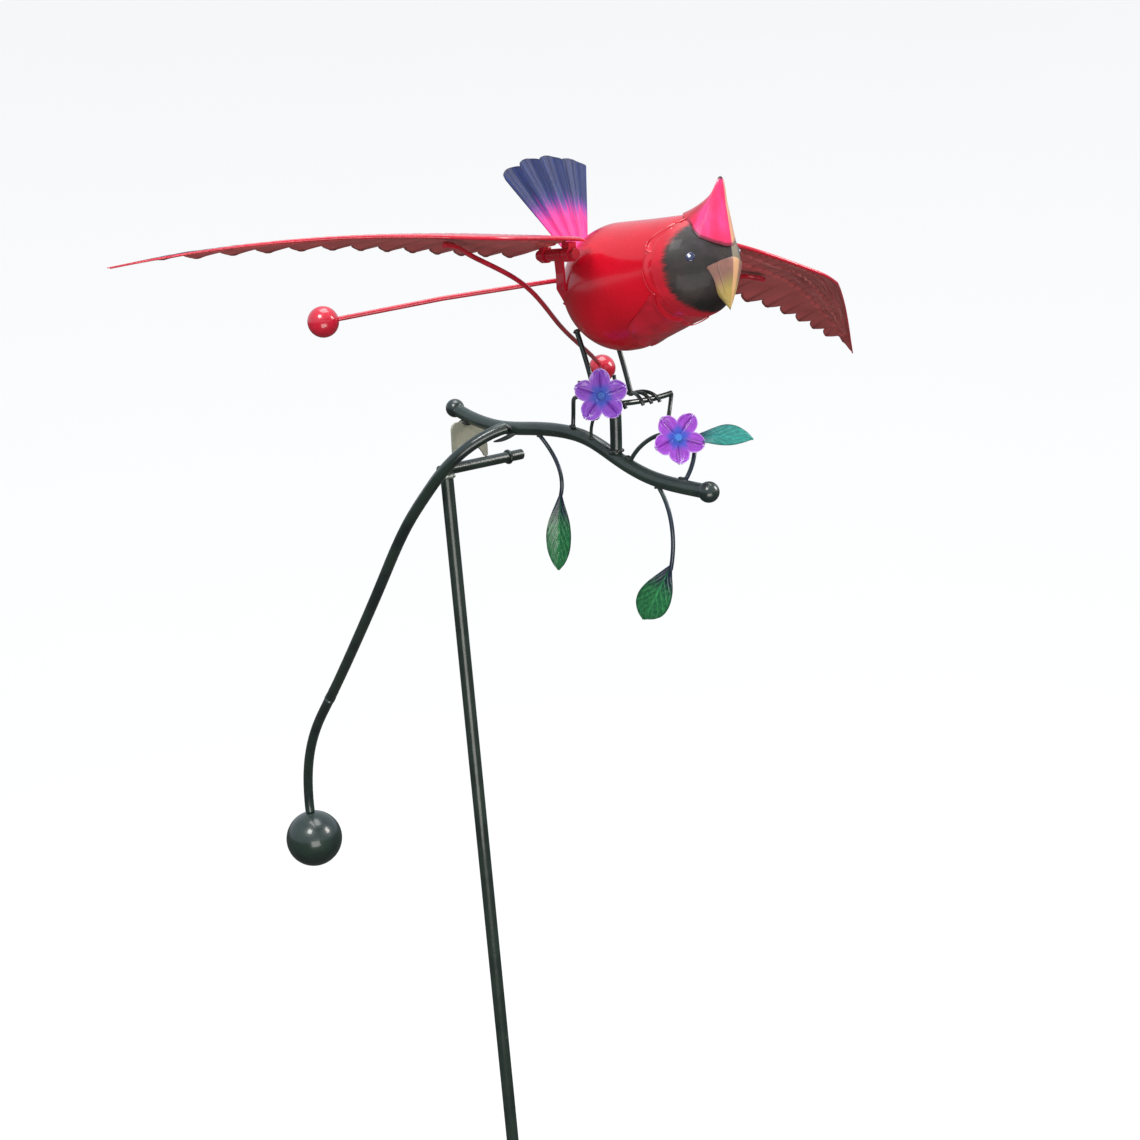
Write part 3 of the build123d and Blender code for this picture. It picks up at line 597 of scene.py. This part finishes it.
def face_mask():
    rows, cols = 90, 360
    grid, steps, turns = polar_patch(mask_rim, SHEET, rows, cols, 0.01)
    thin = smoothstep(1.0, 0.86, steps)[:, None]
    grid = wrap(grid, 2 * SHEET + 0.25 + 0.5 * thin + dents(grid, 18.0, 0.2))
    grid = grid + ridge_push(grid, 3.5, 8.0)[..., None] * np.array((0.96, 0, 0.1))
    # spot of the painted blue-grey reflection on the near side
    bloom_spot = np.array((318, -17, 190))
    bloom = bell(np.linalg.norm(grid - bloom_spot, axis=-1), 0, 9.0)
    # the far face beside the ridge, where the mask enamel paints an olive reflection
    far_front = smoothstep(0.2, 1.6, grid[..., 1]) * smoothstep(22, 8, grid[..., 1])
    far_front = far_front * smoothstep(312, 324, grid[..., 0]) * smoothstep(166, 174, grid[..., 2])
    points, faces, _ = sheet(grid, 0.7, grid - (EGG_CENTRE + HEAD_ALONG * AXIS), closed=True)
    fields = fields_of(grid, edge=steps[:, None], around=turns, bloom=bloom, far_front=far_front)
    piece = build("face_mask_skin", points, faces, [MATERIALS["mask_black"]], fields=fields)
    return settle(piece, "rocker", "mask_black", "face_mask")


def breast_panel():
    """Sheet lapped on the breast in front of a slanted seam, its edges turned up a little."""
    rows, cols = 80, 110
    down = np.linspace(0, 1, rows)
    across = np.linspace(-1, 1, cols)
    marks = [0, 0.3, 0.65, 1.0]
    seam = smooth_values(marks, [(284, 44, 150), (272, 46, 134), (254, 40, 116), (243, 3, 100)], down)
    middle = smooth_values(marks, [(316, 0, 140), (306, 0, 125), (284, 0, 108), (256, 0, 98)], down)
    lean = np.abs(across)[None, :, None] ** 1.6
    grid = middle[:, None, :] * (1 - lean) + seam[:, None, :] * lean
    grid[..., 1] = seam[:, 1][:, None] * np.sign(across) * np.abs(across) ** 0.9
    edge = np.maximum(smoothstep(0.955, 1.0, np.abs(across))[None, :],
                      smoothstep(0.965, 1.0, down)[:, None])
    grid = wrap(grid, SHEET + 0.12)
    grid = wrap(grid, SHEET + 0.12 + 0.45 * edge + dents(grid, 11.0, 0.4))
    points, faces, _ = sheet(grid, 0.7, grid - EGG_CENTRE)
    piece = build("breast_panel_skin", points, faces, [EXTRA["breast"]])
    return settle(piece, "rocker", "body_red", "breast_panel")


def bead(line, radius, body, name, kind, slot, seed, lumps=0.35, closed=False, sides=12):
    """A lumpy weld bead along a line."""
    rng = Random(seed)
    radii = [radius * (1 + lumps * (rng.random() - 0.5) * 2) for _ in line]
    if not closed:
        radii[0] *= 0.45
        radii[-1] *= 0.45
    points, faces = tube(line, radii, sides, closed)
    wobble = np.array([[rng.uniform(-1, 1) for _ in range(3)] for _ in points]) * radius * 0.12
    piece = build(name, points + wobble, faces, [EXTRA[kind]], sharp=80.0)
    soften = piece.modifiers.new("soften", "SUBSURF")
    soften.levels = soften.render_levels = 1
    return settle(piece, body, slot)


def ring(centre, axis, radius, steps):
    axis = unit(np.array(axis, float))
    first = unit(np.cross(axis, (0.2, 0.9, 0.3)))
    second = np.cross(axis, first)
    turns = [2 * pi * n / steps for n in range(steps)]
    return np.array([np.array(centre) + radius * (cos(t) * first + sin(t) * second) for t in turns])


# ---- crest and beak
def crest():
    """Folded cap: a sharp front ridge, a concave back and a scalloped hem on the head."""
    rows, cols = 90, 240
    turns = np.linspace(0, 2 * pi, cols, endpoint=False)
    lift = np.linspace(0, 1, rows)
    centre = np.array((318.5, 0.0, 192.6))
    forward = np.array((0.88, 0, -0.47))
    facing = np.cos(turns)
    fold = np.abs(np.sin(turns))
    ahead = np.where(facing > 0, 15.5 * (1 - fold ** 2.4), 32 * facing)
    beside = 20.0 * np.sin(turns) * (1 - 0.25 * np.clip(-facing, 0, 1))
    lobes = 1 + 0.10 * np.abs(np.cos(2 * turns + 0.5 * np.sign(np.sin(turns)))) ** 0.7 * (facing > -0.3)
    hem = centre + (ahead * lobes)[:, None] * forward + (beside * lobes)[:, None] * AXIS_LEFT
    hem = wrap(hem, 3.0 + 0.6 * np.clip(facing, 0, 1) - 1.2 * smoothstep(0.1, 0.9, -facing))
    hem = hem + ridge_push(hem, 3.5, 8.0)[:, None] * np.array((0.96, 0, 0.1))
    apex = np.array((326.7, 0.0, 236.0))
    middle = hem.mean(0)
    flat = hem - middle
    back = np.clip(-facing, 0, 1)
    keep = (1 - lift[:, None]) ** (0.92 + 1.15 * back[None, :] ** 1.2)
    level = (1 - lift[:, None]) ** 1.5 * flat[:, 2][None, :]
    spine = middle + lift[:, None] * (apex - middle)
    grid = spine[:, None, :] + keep[..., None] * flat[None, :, :]
    grid[..., 2] = spine[:, None, 2] + level
    cap = np.sqrt(1 - ((lift - 0.93) / 0.07).clip(0, 1) ** 2)
    round_tip = 1.5 * cap * smoothstep(0.5, 0.93, lift)
    grid = grid + round_tip[:, None, None] * unit(flat * np.array((1, 1, 0)))[None, :, :]
    grid = grid + (dents(grid, 12.0, 0.35) * (1 - lift)[:, None])[..., None] * unit(flat)[None, :, :]
    # the far face beside the front ridge, where the crest enamel paints a pale reflection
    far = smoothstep(0.02, 0.10, np.sin(turns)) * smoothstep(-0.1, 0.5, facing)
    hem_line = smoothstep(0.060, 0.020, lift)[:, None] * smoothstep(-0.75, -0.35, facing)[None, :]
    fields = fields_of(grid, height=lift[:, None], front=smoothstep(-0.62, -0.20, facing), far=far,
                       hem=hem_line)
    points, faces, _ = sheet(grid, 0.6, grid - np.array((318, 0, 205)), closed=True)
    piece = build("crest_skin", points, faces, [EXTRA["crest"]], fields=fields)
    return settle(piece, "rocker", "body_red", "crest")


def beak():
    """Folded cone: two flat sides meet in a front ridge, with a mouth line on each side."""
    rows, cols = 70, 240
    turns = np.linspace(-pi, pi, cols, endpoint=False)
    down = np.linspace(0, 1, rows)
    share = np.abs(turns) / (pi / 2)
    side = np.minimum(share, 1)
    ahead = np.where(share < 1, 7.5 * (1 - share ** 1.3), 14 * np.cos(turns))
    beside = np.where(share < 1, 19.5 * np.sign(turns) * side ** 0.8, 19.5 * np.sin(turns))
    base = np.stack([326.5 + ahead, beside, 171.0 + 0.72 * ahead], 1)
    tip = np.array((329.0, 0.0, 136.8))
    middle = np.array((325.0, 0, 168.0))
    keep = (1 - down[:, None]) ** (0.86 + 0.1 * side[None, :])
    grid = tip + keep[..., None] * (base - tip)[None, :, :]
    bulge = np.sin(pi * down ** 0.8)[:, None] * np.where(share < 1, 1.6, 0.8)[None, :]
    grid = grid + bulge[..., None] * unit(base - middle)[None, :, :]
    mouth = bell(share, 0.60, 0.03)[None, :] * smoothstep(0.92, 0.6, down)[:, None]
    grid = grid - (0.5 * mouth)[..., None] * unit(base - middle)[None, :, :]
    grid = grid + dents(grid, 9.0, 0.3)[..., None] * unit(base - middle)[None, :, :]
    grid[-1] = tip + 0.5 * unit(base - tip)
    # the far face beside the ridge, where the beak enamel paints a pale highlight
    front = smoothstep(0.0, 0.05, turns / (pi / 2)) * smoothstep(0.62, 0.35, share)
    fields = fields_of(grid, down=down[:, None], front=front, groove=mouth)
    points, faces, _ = sheet(grid, 0.7, grid - middle, closed=True)
    piece = build("beak_skin", points, faces, [MATERIALS["beak_gold"]], fields=fields)
    return settle(piece, "rocker", "beak_gold", "beak")


def eyes():
    for side, name in ((RIGHT, "right"), (LEFT, "left")):
        spot = wrap(np.array([(316.0, side * 29.7, 178.7)]), 0)[0]
        out = unit(spot - (EGG_CENTRE + HEAD_ALONG * AXIS))
        for label, radius, rise, kind, shift in (
            ("eye_ring", 3.4, 2.1, "pupil", (0, 0, 0)), ("eye_glint", 1.25, 3.0, "eye", (-0.9, 0, 0.4)),
        ):
            rows, cols = 12, 28
            tilt = np.linspace(0.02, pi / 2, rows)
            turns = np.linspace(0, 2 * pi, cols, endpoint=False)
            first = unit(np.cross(out, (0, 0, 1)))
            second = np.cross(first, out)
            grid = (spot + np.array(shift) + (rise + 0.9 * np.cos(tilt))[:, None, None] * out
                    + radius * np.sin(tilt)[:, None, None]
                    * (np.cos(turns)[None, :, None] * first + np.sin(turns)[None, :, None] * second))
            points, faces, _ = sheet(grid, 0.4, out, closed=True)
            settle(build(f"{label}_{name}", points, faces, [EXTRA[kind]]), "rocker", "mask_black")


# ---- tail
def tail_fan():
    """Four round lobes, each pleated along its middle and creased at the notches."""
    lobes, half_angle = 4, radians(29.5)
    notch, bulge = 96.0, 5.2
    origin = np.array((173.0, 0, 176.2))
    up, out = np.array((-0.454, 0, 0.89)), np.array((0.89, 0, 0.454))
    rows, cols = 90, 241
    share = np.linspace(0, 1, rows)[:, None]
    fan = np.linspace(-1, 1, cols)[None, :]
    phase = (fan + 1) / 2 * lobes
    local = phase - np.floor(np.minimum(phase, lobes - 1e-6))
    reach = notch + 2.5 * fan + bulge * np.sin(pi * local) ** 0.8
    ribs = np.abs((2 * phase) % 2 - 1)
    fold = 2 * ribs - 1
    fine = np.cos(2 * pi * phase * 2)
    angle = fan * half_angle - radians(2.5)
    beside = 6 * fan * (1 - share) + reach * np.sin(angle) * share
    rise = reach * np.cos(angle) * share
    height = (1.9 * fold + 0.6 * fine) * smoothstep(0.04, 0.6, share) * (0.35 + 0.65 * share)
    height = height + 3.0 * share ** 2 - 1.0
    grid = (origin + beside[..., None] * AXIS_LEFT + rise[..., None] * up + height[..., None] * out)
    first_row = 1           # the fan starts a little way out, where it leaves the body
    grid, share_used = grid[first_row:], share[first_row:]
    # pleat marks the notches between lobes, where the tail enamel paints shade
    fields = fields_of(grid, out=share_used, fan=fan,
                       pleat=smoothstep(0.25, 0.0, np.minimum(local, 1 - local)))
    points, faces, _ = sheet(grid, 0.6, out)
    piece = build("tail_fan_skin", points, faces, [MATERIALS["tail_pink"]], fields=fields, sharp=70.0)
    return settle(piece, "rocker", "tail_pink", "tail_fan")


# ---- wings
HINGE_Y, HINGE_Z = 50.0, 187.0
WING_TIP = (146.0, 361.0)
WRIST = (267.0, 167.0)
LEADING = [(226, -2), (258, 45), (273, 100), (277, 138), WRIST]
TRAILING = [(157, -2), (160, 60), (168, 130), (175, 200), (171, 255), (163, 312)]
SCALLOPS, SCALLOP_DEPTH = 12, 7.5
WING_ROOT, WING_REACH = -6.0, 370.0
WING_SAG = {RIGHT: 0.0, LEFT: 14.0}


def camber(x, sag):
    """Height of the wing's fore-and-aft arc at x; sag lowers its trailing end."""
    (x0, z0), (x1, z1), (x2, z2) = (140, -3.5 - sag), (225, 10), (295, 4)
    return (z0 * (x - x1) * (x - x2) / ((x0 - x1) * (x0 - x2))
            + z1 * (x - x0) * (x - x2) / ((x1 - x0) * (x1 - x2))
            + z2 * (x - x0) * (x - x1) / ((x2 - x0) * (x2 - x1)))


def wing_edge(line, spans):
    """x of a wing edge at each span: a curve through the line's points, then straight to the tip."""
    x, s = np.array(line, float).T
    curve = smooth_values(s, x, np.minimum(spans, s[-1]))
    return np.where(spans < s[-1], curve, np.interp(spans, [s[-1], WING_TIP[1]], [x[-1], WING_TIP[0]]))


def wing(side, tilt, name):
    cols, rows = 420, 84
    spans = np.linspace(-2, WING_TIP[1] - 0.8, cols)
    lead, trail = wing_edge(LEADING, spans), wing_edge(TRAILING, spans)
    last_notch = TRAILING[-1][1]
    pitch = (last_notch + 2) / SCALLOPS
    phase = (spans + 2) / pitch
    local = phase - np.floor(phase)
    crown = half_round(local) * smoothstep(last_notch + 3, last_notch - 3, spans)
    trail = trail - SCALLOP_DEPTH * crown
    chord = np.linspace(0, 1, rows)[:, None]
    x = lead[None, :] + (trail - lead)[None, :] * chord
    s = np.broadcast_to(spans, x.shape)
    reach = s / WING_TIP[1]

    # feathers: each row starts under the one before it and ends in a scalloped step;
    # a row is its first and last share of the chord, feathers per trailing scallop, and step height
    lean = 46.0 * reach * (1 - chord) ** 1.4
    feather = (s + lean + 2) / pitch
    feather_rows = [
        (0.02, 0.17, 3.0, 1.1), (0.15, 0.33, 2.0, 1.5), (0.31, 0.53, 2.0, 1.7), (0.50, 1.02, 1.0, 1.0),
    ]
    relief = np.zeros(x.shape)
    # the seams between feathers and the strip under each row's edge, where the wing enamels paint shade
    groove = np.zeros(x.shape)
    for n, (start, end, rate, step) in enumerate(feather_rows):
        beat = feather * rate + 0.5 * n
        within = beat - np.floor(beat)
        round_end = half_round(within)
        edge = end - 0.05 + 0.05 * round_end
        ramp = np.clip((chord - start) / (edge - start), 0, 1)
        row_height = step * ramp * (0.55 + 0.45 * round_end)
        inside = smoothstep(edge + 0.008, edge - 0.008, chord)
        relief = np.maximum(relief, row_height * inside)
        seam = smoothstep(0.16, 0.0, np.minimum(within, 1 - within)) * (chord > start) * inside
        groove = np.maximum(groove * (1 - inside * (chord > start)), seam * ramp)
        under_edge = bell(chord, edge + 0.012, 0.012) if end < 1 else 0
        groove = np.maximum(groove, under_edge)
    quill = bell(feather - np.floor(feather), 0.5, 0.06) * smoothstep(0.5, 0.7, chord)
    relief = relief * smoothstep(0.0, 0.05, chord) + 0.35 * quill
    narrow = smoothstep(0, 14, lead - trail)[None, :]
    flutter = 0.7 * (chord ** 3) * np.cos(2 * pi * feather) * narrow
    droop = 2.5 * np.sin(pi * np.clip(reach, 0, 1)) - 3.5 * reach ** 3
    sag = np.interp(s, [WING_ROOT, WRIST[1], WING_REACH], [0, WING_SAG[side], 0])
    height = camber(x, sag) + 0.5 + relief * narrow + flutter + droop

    plane_out = np.array((0, side * cos(tilt), sin(tilt)))
    plane_up = np.array((0, -side * sin(tilt), cos(tilt)))
    origin = np.array((0, side * HINGE_Y, HINGE_Z))
    ahead = np.array((1.0, 0, 0))

    def place(px, ps, ph):
        return origin + px[..., None] * ahead + ps[..., None] * plane_out + ph[..., None] * plane_up

    grid = place(x, s, height)
    points, faces, slots = sheet(grid, 0.5, plane_up)
    fields = fields_of(grid, span=reach, chord=chord, groove=groove, feather=feather)
    pick = np.arange(0, cols, 3)
    rim_line = place(lead[pick] - 0.6, spans[pick], height[0, pick] - 0.9)
    taper = np.clip(np.interp(spans[pick], [-2, 20, 250, 361], [0.9, 1.7, 1.3, 0.5]), 0.4, 2)
    rim_points, rim_faces = tube(rim_line, taper, 12)
    points, faces, slots = joined([(points, faces, slots), (rim_points, rim_faces, 2)])
    fields = {key: np.pad(values, (0, len(rim_points))) for key, values in fields.items()}
    paints = [EXTRA["wing_top"], EXTRA["wing_under"], MATERIALS["wing_red"]]
    piece = build(f"{name}_skin", points, faces, paints, slots, fields, sharp=60.0)
    return settle(piece, "right_wing" if side == RIGHT else "left_wing", "wing_red", name)


# ---- flowers and leaves
def frame_of(normal, toward=(0, 0, 1)):
    normal = unit(np.array(normal, float))
    first = unit(np.cross(toward, normal))
    return first, np.cross(normal, first), normal


def petals(origin, normal, turn, name, material, seed):
    """Five cupped petals with notched ends, standing for one pressed flower."""
    rng = Random(seed)
    first, second, out = frame_of(normal)
    parts, sets = [], []
    for n in range(5):
        angle = turn + 2 * pi * n / 5 + rng.uniform(-0.07, 0.07)
        along = cos(angle) * first + sin(angle) * second
        aside = -sin(angle) * first + cos(angle) * second
        length, width = 22.0 * rng.uniform(0.95, 1.04), 8.2 * rng.uniform(0.93, 1.05)
        rows, cols = 40, 33
        t = np.linspace(0.03, 1, rows)[:, None]
        w = np.linspace(-1, 1, cols)[None, :]
        half = width * (np.sin(pi * np.clip(t * 0.93 + 0.06, 0, 1) ** 1.5) ** 0.62) + 1.6 * (1 - t)
        notch = 1 - 0.10 * bell(w, 0, 0.22) - 0.05 * w ** 2
        radial = length * t * (1 + (notch - 1) * t ** 4)
        crease = 1.2 * bell(w, 0, 0.10) * smoothstep(0.1, 0.4, t)
        lift = 0.9 + 2.6 * t ** 2 * (0.6 + 0.6 * w ** 2) - crease
        lift = lift + 0.8 * np.sin(3 * pi * w + n) * t ** 3 * 0.5
        grid = (np.array(origin, float) + radial[..., None] * along
                + (half * w)[..., None] * aside + lift[..., None] * out)
        points, faces, _ = sheet(grid, 0.6, out)
        vein = bell(w, 0, 0.07) + 0.8 * bell(np.abs(w), 0.42 * t, 0.06)
        vein = np.clip(vein, 0, 1) * smoothstep(1.0, 0.75, t)
        rim = np.maximum(smoothstep(0.86, 1.0, np.abs(w)) * smoothstep(0.3, 0.6, t),
                         smoothstep(0.94, 1.0, t))
        sets.append(fields_of(grid, out=t, side=w + 3 * n, vein=vein, rim=rim))
        parts.append((points, faces, 0))
    points, faces, _ = joined(parts)
    fields = {key: np.concatenate([one[key] for one in sets]) for key in sets[0]}
    piece = build(f"{name}_skin", points, faces, [material], fields=fields, sharp=60.0)
    return settle(piece, "rocker", "petal_violet", name)


def leaf(base, tip, facing, width, name, slot, bend):
    """Pointed blade folded along its midrib, with slanting veins."""
    base, tip = np.array(base, float), np.array(tip, float)
    length = np.linalg.norm(tip - base)
    along = (tip - base) / length
    out = np.array(facing, float)
    out = unit(out - along * (along @ out))
    aside = np.cross(out, along)
    rows, cols = 90, 41
    t = np.linspace(0.01, 0.995, rows)[:, None]
    w = np.linspace(-1, 1, cols)[None, :]
    outline = smooth_values([0, 0.12, 0.35, 0.58, 0.8, 0.93, 1], [0.06, 0.34, 0.83, 1.0, 0.78, 0.38, 0.03],
                            t[:, 0])
    half = width / 2 * outline[:, None]
    veins = (7 * t - 2.6 * np.abs(w)) % 1
    vein = bell(veins, 0.5, 0.10)
    vein = vein * smoothstep(1.0, 0.7, np.abs(w)) * smoothstep(0.08, 0.2, t)
    rib = bell(w, 0, 0.07)
    lift = (2.6 * np.abs(w) * half / (width / 2) + bend * np.sin(pi * t) + 0.35 * vein - 0.6 * rib
            + 0.9 * np.sin(9 * t + 2 * w) * np.abs(w) ** 2)
    grid = (base + (length * t)[..., None] * along + (half * w)[..., None] * aside
            + lift[..., None] * out)
    fields = fields_of(grid, along=t, side=w, vein=np.maximum(vein * 0.7, rib),
                       rim=smoothstep(0.86, 1.0, np.abs(w)))
    points, faces, _ = sheet(grid, 0.6, out)
    piece = build(f"{name}_skin", points, faces, [MATERIALS[slot]], fields=fields, sharp=60.0)
    return settle(piece, "rocker", slot, name)


# ---- build everything
body_shell(RIGHT, "body_shell_right")
body_shell(LEFT, "body_shell_left")
head_hood()
breast_panel()
face_mask()
crest()
beak()
eyes()
tail_fan()
wing(RIGHT, radians(4), "wing_right")
wing(LEFT, radians(-20), "wing_left")
petals((216, -34, 73.5), (0.72, -0.68, 0.12), 0.3, "flower_upper_petals", MATERIALS["petal_violet"], 3)
petals((266, -1, 36.5), (0.8, -0.5, 0.25), 0.9, "flower_lower_petals", EXTRA["petal_lower"], 8)
leaf((261, 21, 33), (327, 20, 35), (0.5, -0.6, 0.6), 19, "leaf_side", "leaf_teal", 3.0)
leaf((120, 0, -18), (109, 0, -89), (0.6, -0.8, 0), 22, "leaf_rear", "leaf_green", 3.0)
leaf((248, 0, -70), (211, 0, -121), (0.6, -0.8, 0), 28, "leaf_front", "leaf_green", 4.0)

# CAD nodes that keep their shape take the enamel of their record slot
OWN_PAINT = {
    "hinge_pin_right": "hinge_pin", "hinge_pin_left": "hinge_pin", "leaf_rear_stem": "leaf_stem",
    "leaf_front_stem": "leaf_stem", "leaf_side_stem": "leaf_stem", "flower_upper_stem": "stem",
    "flower_lower_stem": "stem", "perch_wire": "stem", "bud_twig": "stem",
}
for part in frame["record"]["subparts"]:
    node = frame["nodes"][part["node"]]
    if node.hide_render:
        continue
    paint = EXTRA.get(OWN_PAINT.get(part["node"])) or MATERIALS[part["material_slot"]]
    for n in range(max(1, len(node.material_slots))):
        if node.material_slots:
            node.material_slots[n].material = paint
        else:
            node.data.materials.append(paint)

# weld beads: body, name, metal, slot of the welded piece, bead radius, seed and lumpiness
RING_BEADS = [      # centre, axis, ring radius, steps
    ((0, -30, -6.0), (0, 0, 1), 6.2, 26, "stand", "weld_stake_top", "weld_bare", 1.7, 1),
    ((0, -30, -4.2), (0, 0, 1), 5.2, 22, "stand", "weld_stake_top_upper", "weld_dark", 1.6, 2),
    ((0, -30, -1020), (0, 1, 0.02), 6.4, 22, "stand", "weld_fork", "weld_dark", 1.4, 3),
    ((0, -30, -1028), (0, 0, 1), 5.6, 22, "stand", "weld_spike", "weld_dark", 1.2, 4),
    ((193.5, 0, 21.5), (-0.25, 0, 0.97), 5.6, 22, "rocker", "weld_post", "weld_dark", 1.6, 9),
    ((195.8, 0, 60.2), (0.1, 0, 1), 4.6, 20, "rocker", "weld_perch", "weld_dark", 1.3, 10),
]
for centre, axis, radius, steps, body, name, metal, bead_r, seed in RING_BEADS:
    slot = "stake_green" if body == "stand" else "branch_green"
    bead(ring(centre, axis, radius, steps), bead_r, body, name, metal, slot, seed, closed=True)

LINE_BEADS = [      # points along the weld
    ([(72, -6.5, 36), (66, -8.0, 40), (58, -11, 40.5), (51, -14, 38)],
     2.0, "rocker", "weld_arm_top", "weld_dark", "branch_green", 5, 0.35),
    ([(74, -5.5, 33), (67, -7.5, 30.5), (60, -12, 27), (53, -16, 26)],
     2.0, "rocker", "weld_arm_under", "weld_dark", "branch_green", 6, 0.35),
    ([(-1.5, -9.5, 40.5), (-2.2, -5.5, 40.8), (-2.4, -1.5, 39.8), (-2.2, 3.5, 40.4), (-1.6, 8.5, 40.4)],
     2.3, "rocker", "weld_saddle_rear", "weld_dark", "branch_green", 7, 0.5),
    ([(2.2, -8.0, 40.6), (2.6, -3.0, 38.6), (2.8, 3.0, 38.6), (2.2, 8.0, 40.4)],
     2.0, "rocker", "weld_saddle_front", "weld_dark", "branch_green", 8, 0.45),
    ([(218, -182, 204.2), (212, -172, 203.4), (206, -161, 202.6)],
     2.4, "right_wing", "weld_rod_right", "weld_red", "rod_red", 50, 0.3),
    ([(219, 174.0, 148.0), (213, 165, 151.0), (208, 156, 153.6)],
     2.6, "left_wing", "weld_rod_left", "weld_red", "rod_red", 51, 0.3),
]
for line, bead_r, body, name, metal, slot, seed, lumps in LINE_BEADS:
    bead(line, bead_r, body, name, metal, slot, seed, lumps)

STEM_FEET = [       # where each stem leaves the branch, and the way it starts
    ((145, -2.3, 41.6), (0.2, 0, 1)), ((207, 0.2, 17.5), (0.5, 0, 0.8)), ((264.3, 2.2, 3.2), (0, 0.2, 1)),
    ((99, 0, 31.2), (0.3, 0, -1)), ((238.6, 0, -5.4), (0.3, 0, -1)), ((168.6, -3.2, 32.5), (0, 0, 1)),
]
for n, (spot, way) in enumerate(STEM_FEET):
    bead(ring(spot, way, 2.0, 14), 1.1, "rocker", f"weld_stem_{n + 1}", "weld_dark", "branch_green",
         20 + n, closed=True, sides=8)
for side, name in ((RIGHT, "right"), (LEFT, "left")):
    bead(ring((178.6, side * 20, 123.5), (0.3, 0, -1), 2.4, 16), 1.1, "rocker", f"weld_hip_{name}",
         "weld_dark", "branch_green", 30 + side, closed=True, sides=8)
    bead([(190, side * 43.5, 148.8), (194, side * 43.2, 147.2), (199, side * 42.6, 148.6)],
         1.8, "rocker", f"weld_strap_{name}", "weld_red", "body_red", 40 + side, 0.4)


# ---- floor, light and camera
CAMERA_PLACE = (1.146, -0.9205, 0.2146)
CAMERA_HEADING, CAMERA_PITCH, CAMERA_ROLL = radians(138.00), radians(-12.37), radians(-4.79)
LENS = 50.53
FLOOR_Z = cad_box[0].z - 0.002


def backdrop():
    """Pale floor that sweeps up behind the object; only the camera sees it."""
    g = Graph("floor_paint")
    pale = g.mix(g.noise(1.6, 3.0), rgb(0.80, 0.80, 0.80), rgb(0.84, 0.84, 0.84))
    lit = g.add("BsdfDiffuse", {"Color": pale})
    glow = g.add("Emission", {"Color": rgb(1.0, 1.0, 1.0), "Strength": 1.12})
    g.add_output(g.add("MixShader", {0: 0.72, 1: lit, 2: glow}))
    flat, bend, wall, turns = 3.2, 3.0, 14.0, 128
    profile = [(0.01, 0.0), (flat, 0.0)]
    profile += [(flat + bend * sin(radians(a)), bend * (1 - cos(radians(a)))) for a in range(5, 91, 5)]
    profile.append((flat + bend, wall))
    points, faces = [], []
    for out, rise in profile:
        for n in range(turns):
            angle = 2 * pi * n / turns
            points.append((out * cos(angle) / MM, out * sin(angle) / MM, (FLOOR_Z + rise) / MM))
    for i in range(len(profile) - 1):
        for j in range(turns):
            k = (j + 1) % turns
            faces.append((i * turns + j, i * turns + k, (i + 1) * turns + k, (i + 1) * turns + j))
    faces.append(tuple(range(turns)))
    floor = build("floor", points, faces, [g.owner], sharp=80.0)
    floor.visible_diffuse = floor.visible_glossy = floor.visible_shadow = False


def lamp(name, place, aim, size, power, colour=(1, 1, 1)):
    data = bpy.data.lights.new(name, "AREA")
    data.shape = "RECTANGLE"
    data.size, data.size_y = size
    data.energy = power
    data.color = colour
    made = bpy.data.objects.new(name, data)
    bpy.context.scene.collection.objects.link(made)
    made.location = place
    made.rotation_euler = (Vector(aim) - Vector(place)).to_track_quat("-Z", "Y").to_euler()


def sky():
    """Even studio white for the camera, a bright upper and dimmer lower half in reflections."""
    g = Graph("studio", "worlds")
    bpy.context.scene.world = g.owner
    height = g.add("SeparateXYZ", {0: g.add("TexCoord", output="Generated")}, output="Z")
    lit = g.mix(g.band(height, -0.06, 0.10), rgb(0.10, 0.10, 0.095), rgb(0.62, 0.68, 0.76))
    colour = g.mix(g.add("LightPath", output="Is Camera Ray"), lit, rgb(1.0, 1.0, 1.0))
    g.add_output(g.add("Background", {"Color": colour, "Strength": 1.0}), "World")


backdrop()
sky()
lamp("key", (0.9, -1.7, 1.9), (0.15, 0, 0.1), (0.9, 0.9), 42, (1.0, 0.98, 0.95))
lamp("top", (0.1, 0.3, 2.4), (0.1, 0, 0.1), (1.6, 1.6), 40)
lamp("far_side", (1.5, 1.5, 0.9), (0.2, 0, 0.15), (0.7, 0.9), 30, (1.0, 0.96, 0.9))
lamp("low_front", (1.4, -0.9, -0.6), (0.15, 0.15, 0.15), (1.2, 0.8), 14, (1.0, 0.97, 0.93))

camera_data = bpy.data.cameras.new("camera")
camera_data.lens = LENS
camera_data.sensor_width = 36.0
camera_data.clip_start, camera_data.clip_end = 0.01, 400.0
camera = bpy.data.objects.new("camera", camera_data)
bpy.context.scene.collection.objects.link(camera)
ahead = Vector((cos(CAMERA_PITCH) * cos(CAMERA_HEADING), cos(CAMERA_PITCH) * sin(CAMERA_HEADING),
                sin(CAMERA_PITCH)))
level = ahead.cross((0, 0, 1)).normalized()
right = cos(CAMERA_ROLL) * level + sin(CAMERA_ROLL) * level.cross(ahead)
turn = Matrix((right, right.cross(ahead), -ahead)).transposed().to_4x4()
camera.matrix_world = Matrix.Translation(CAMERA_PLACE) @ turn
bpy.context.scene.camera = camera
bpy.context.scene.view_settings.view_transform = "Standard"
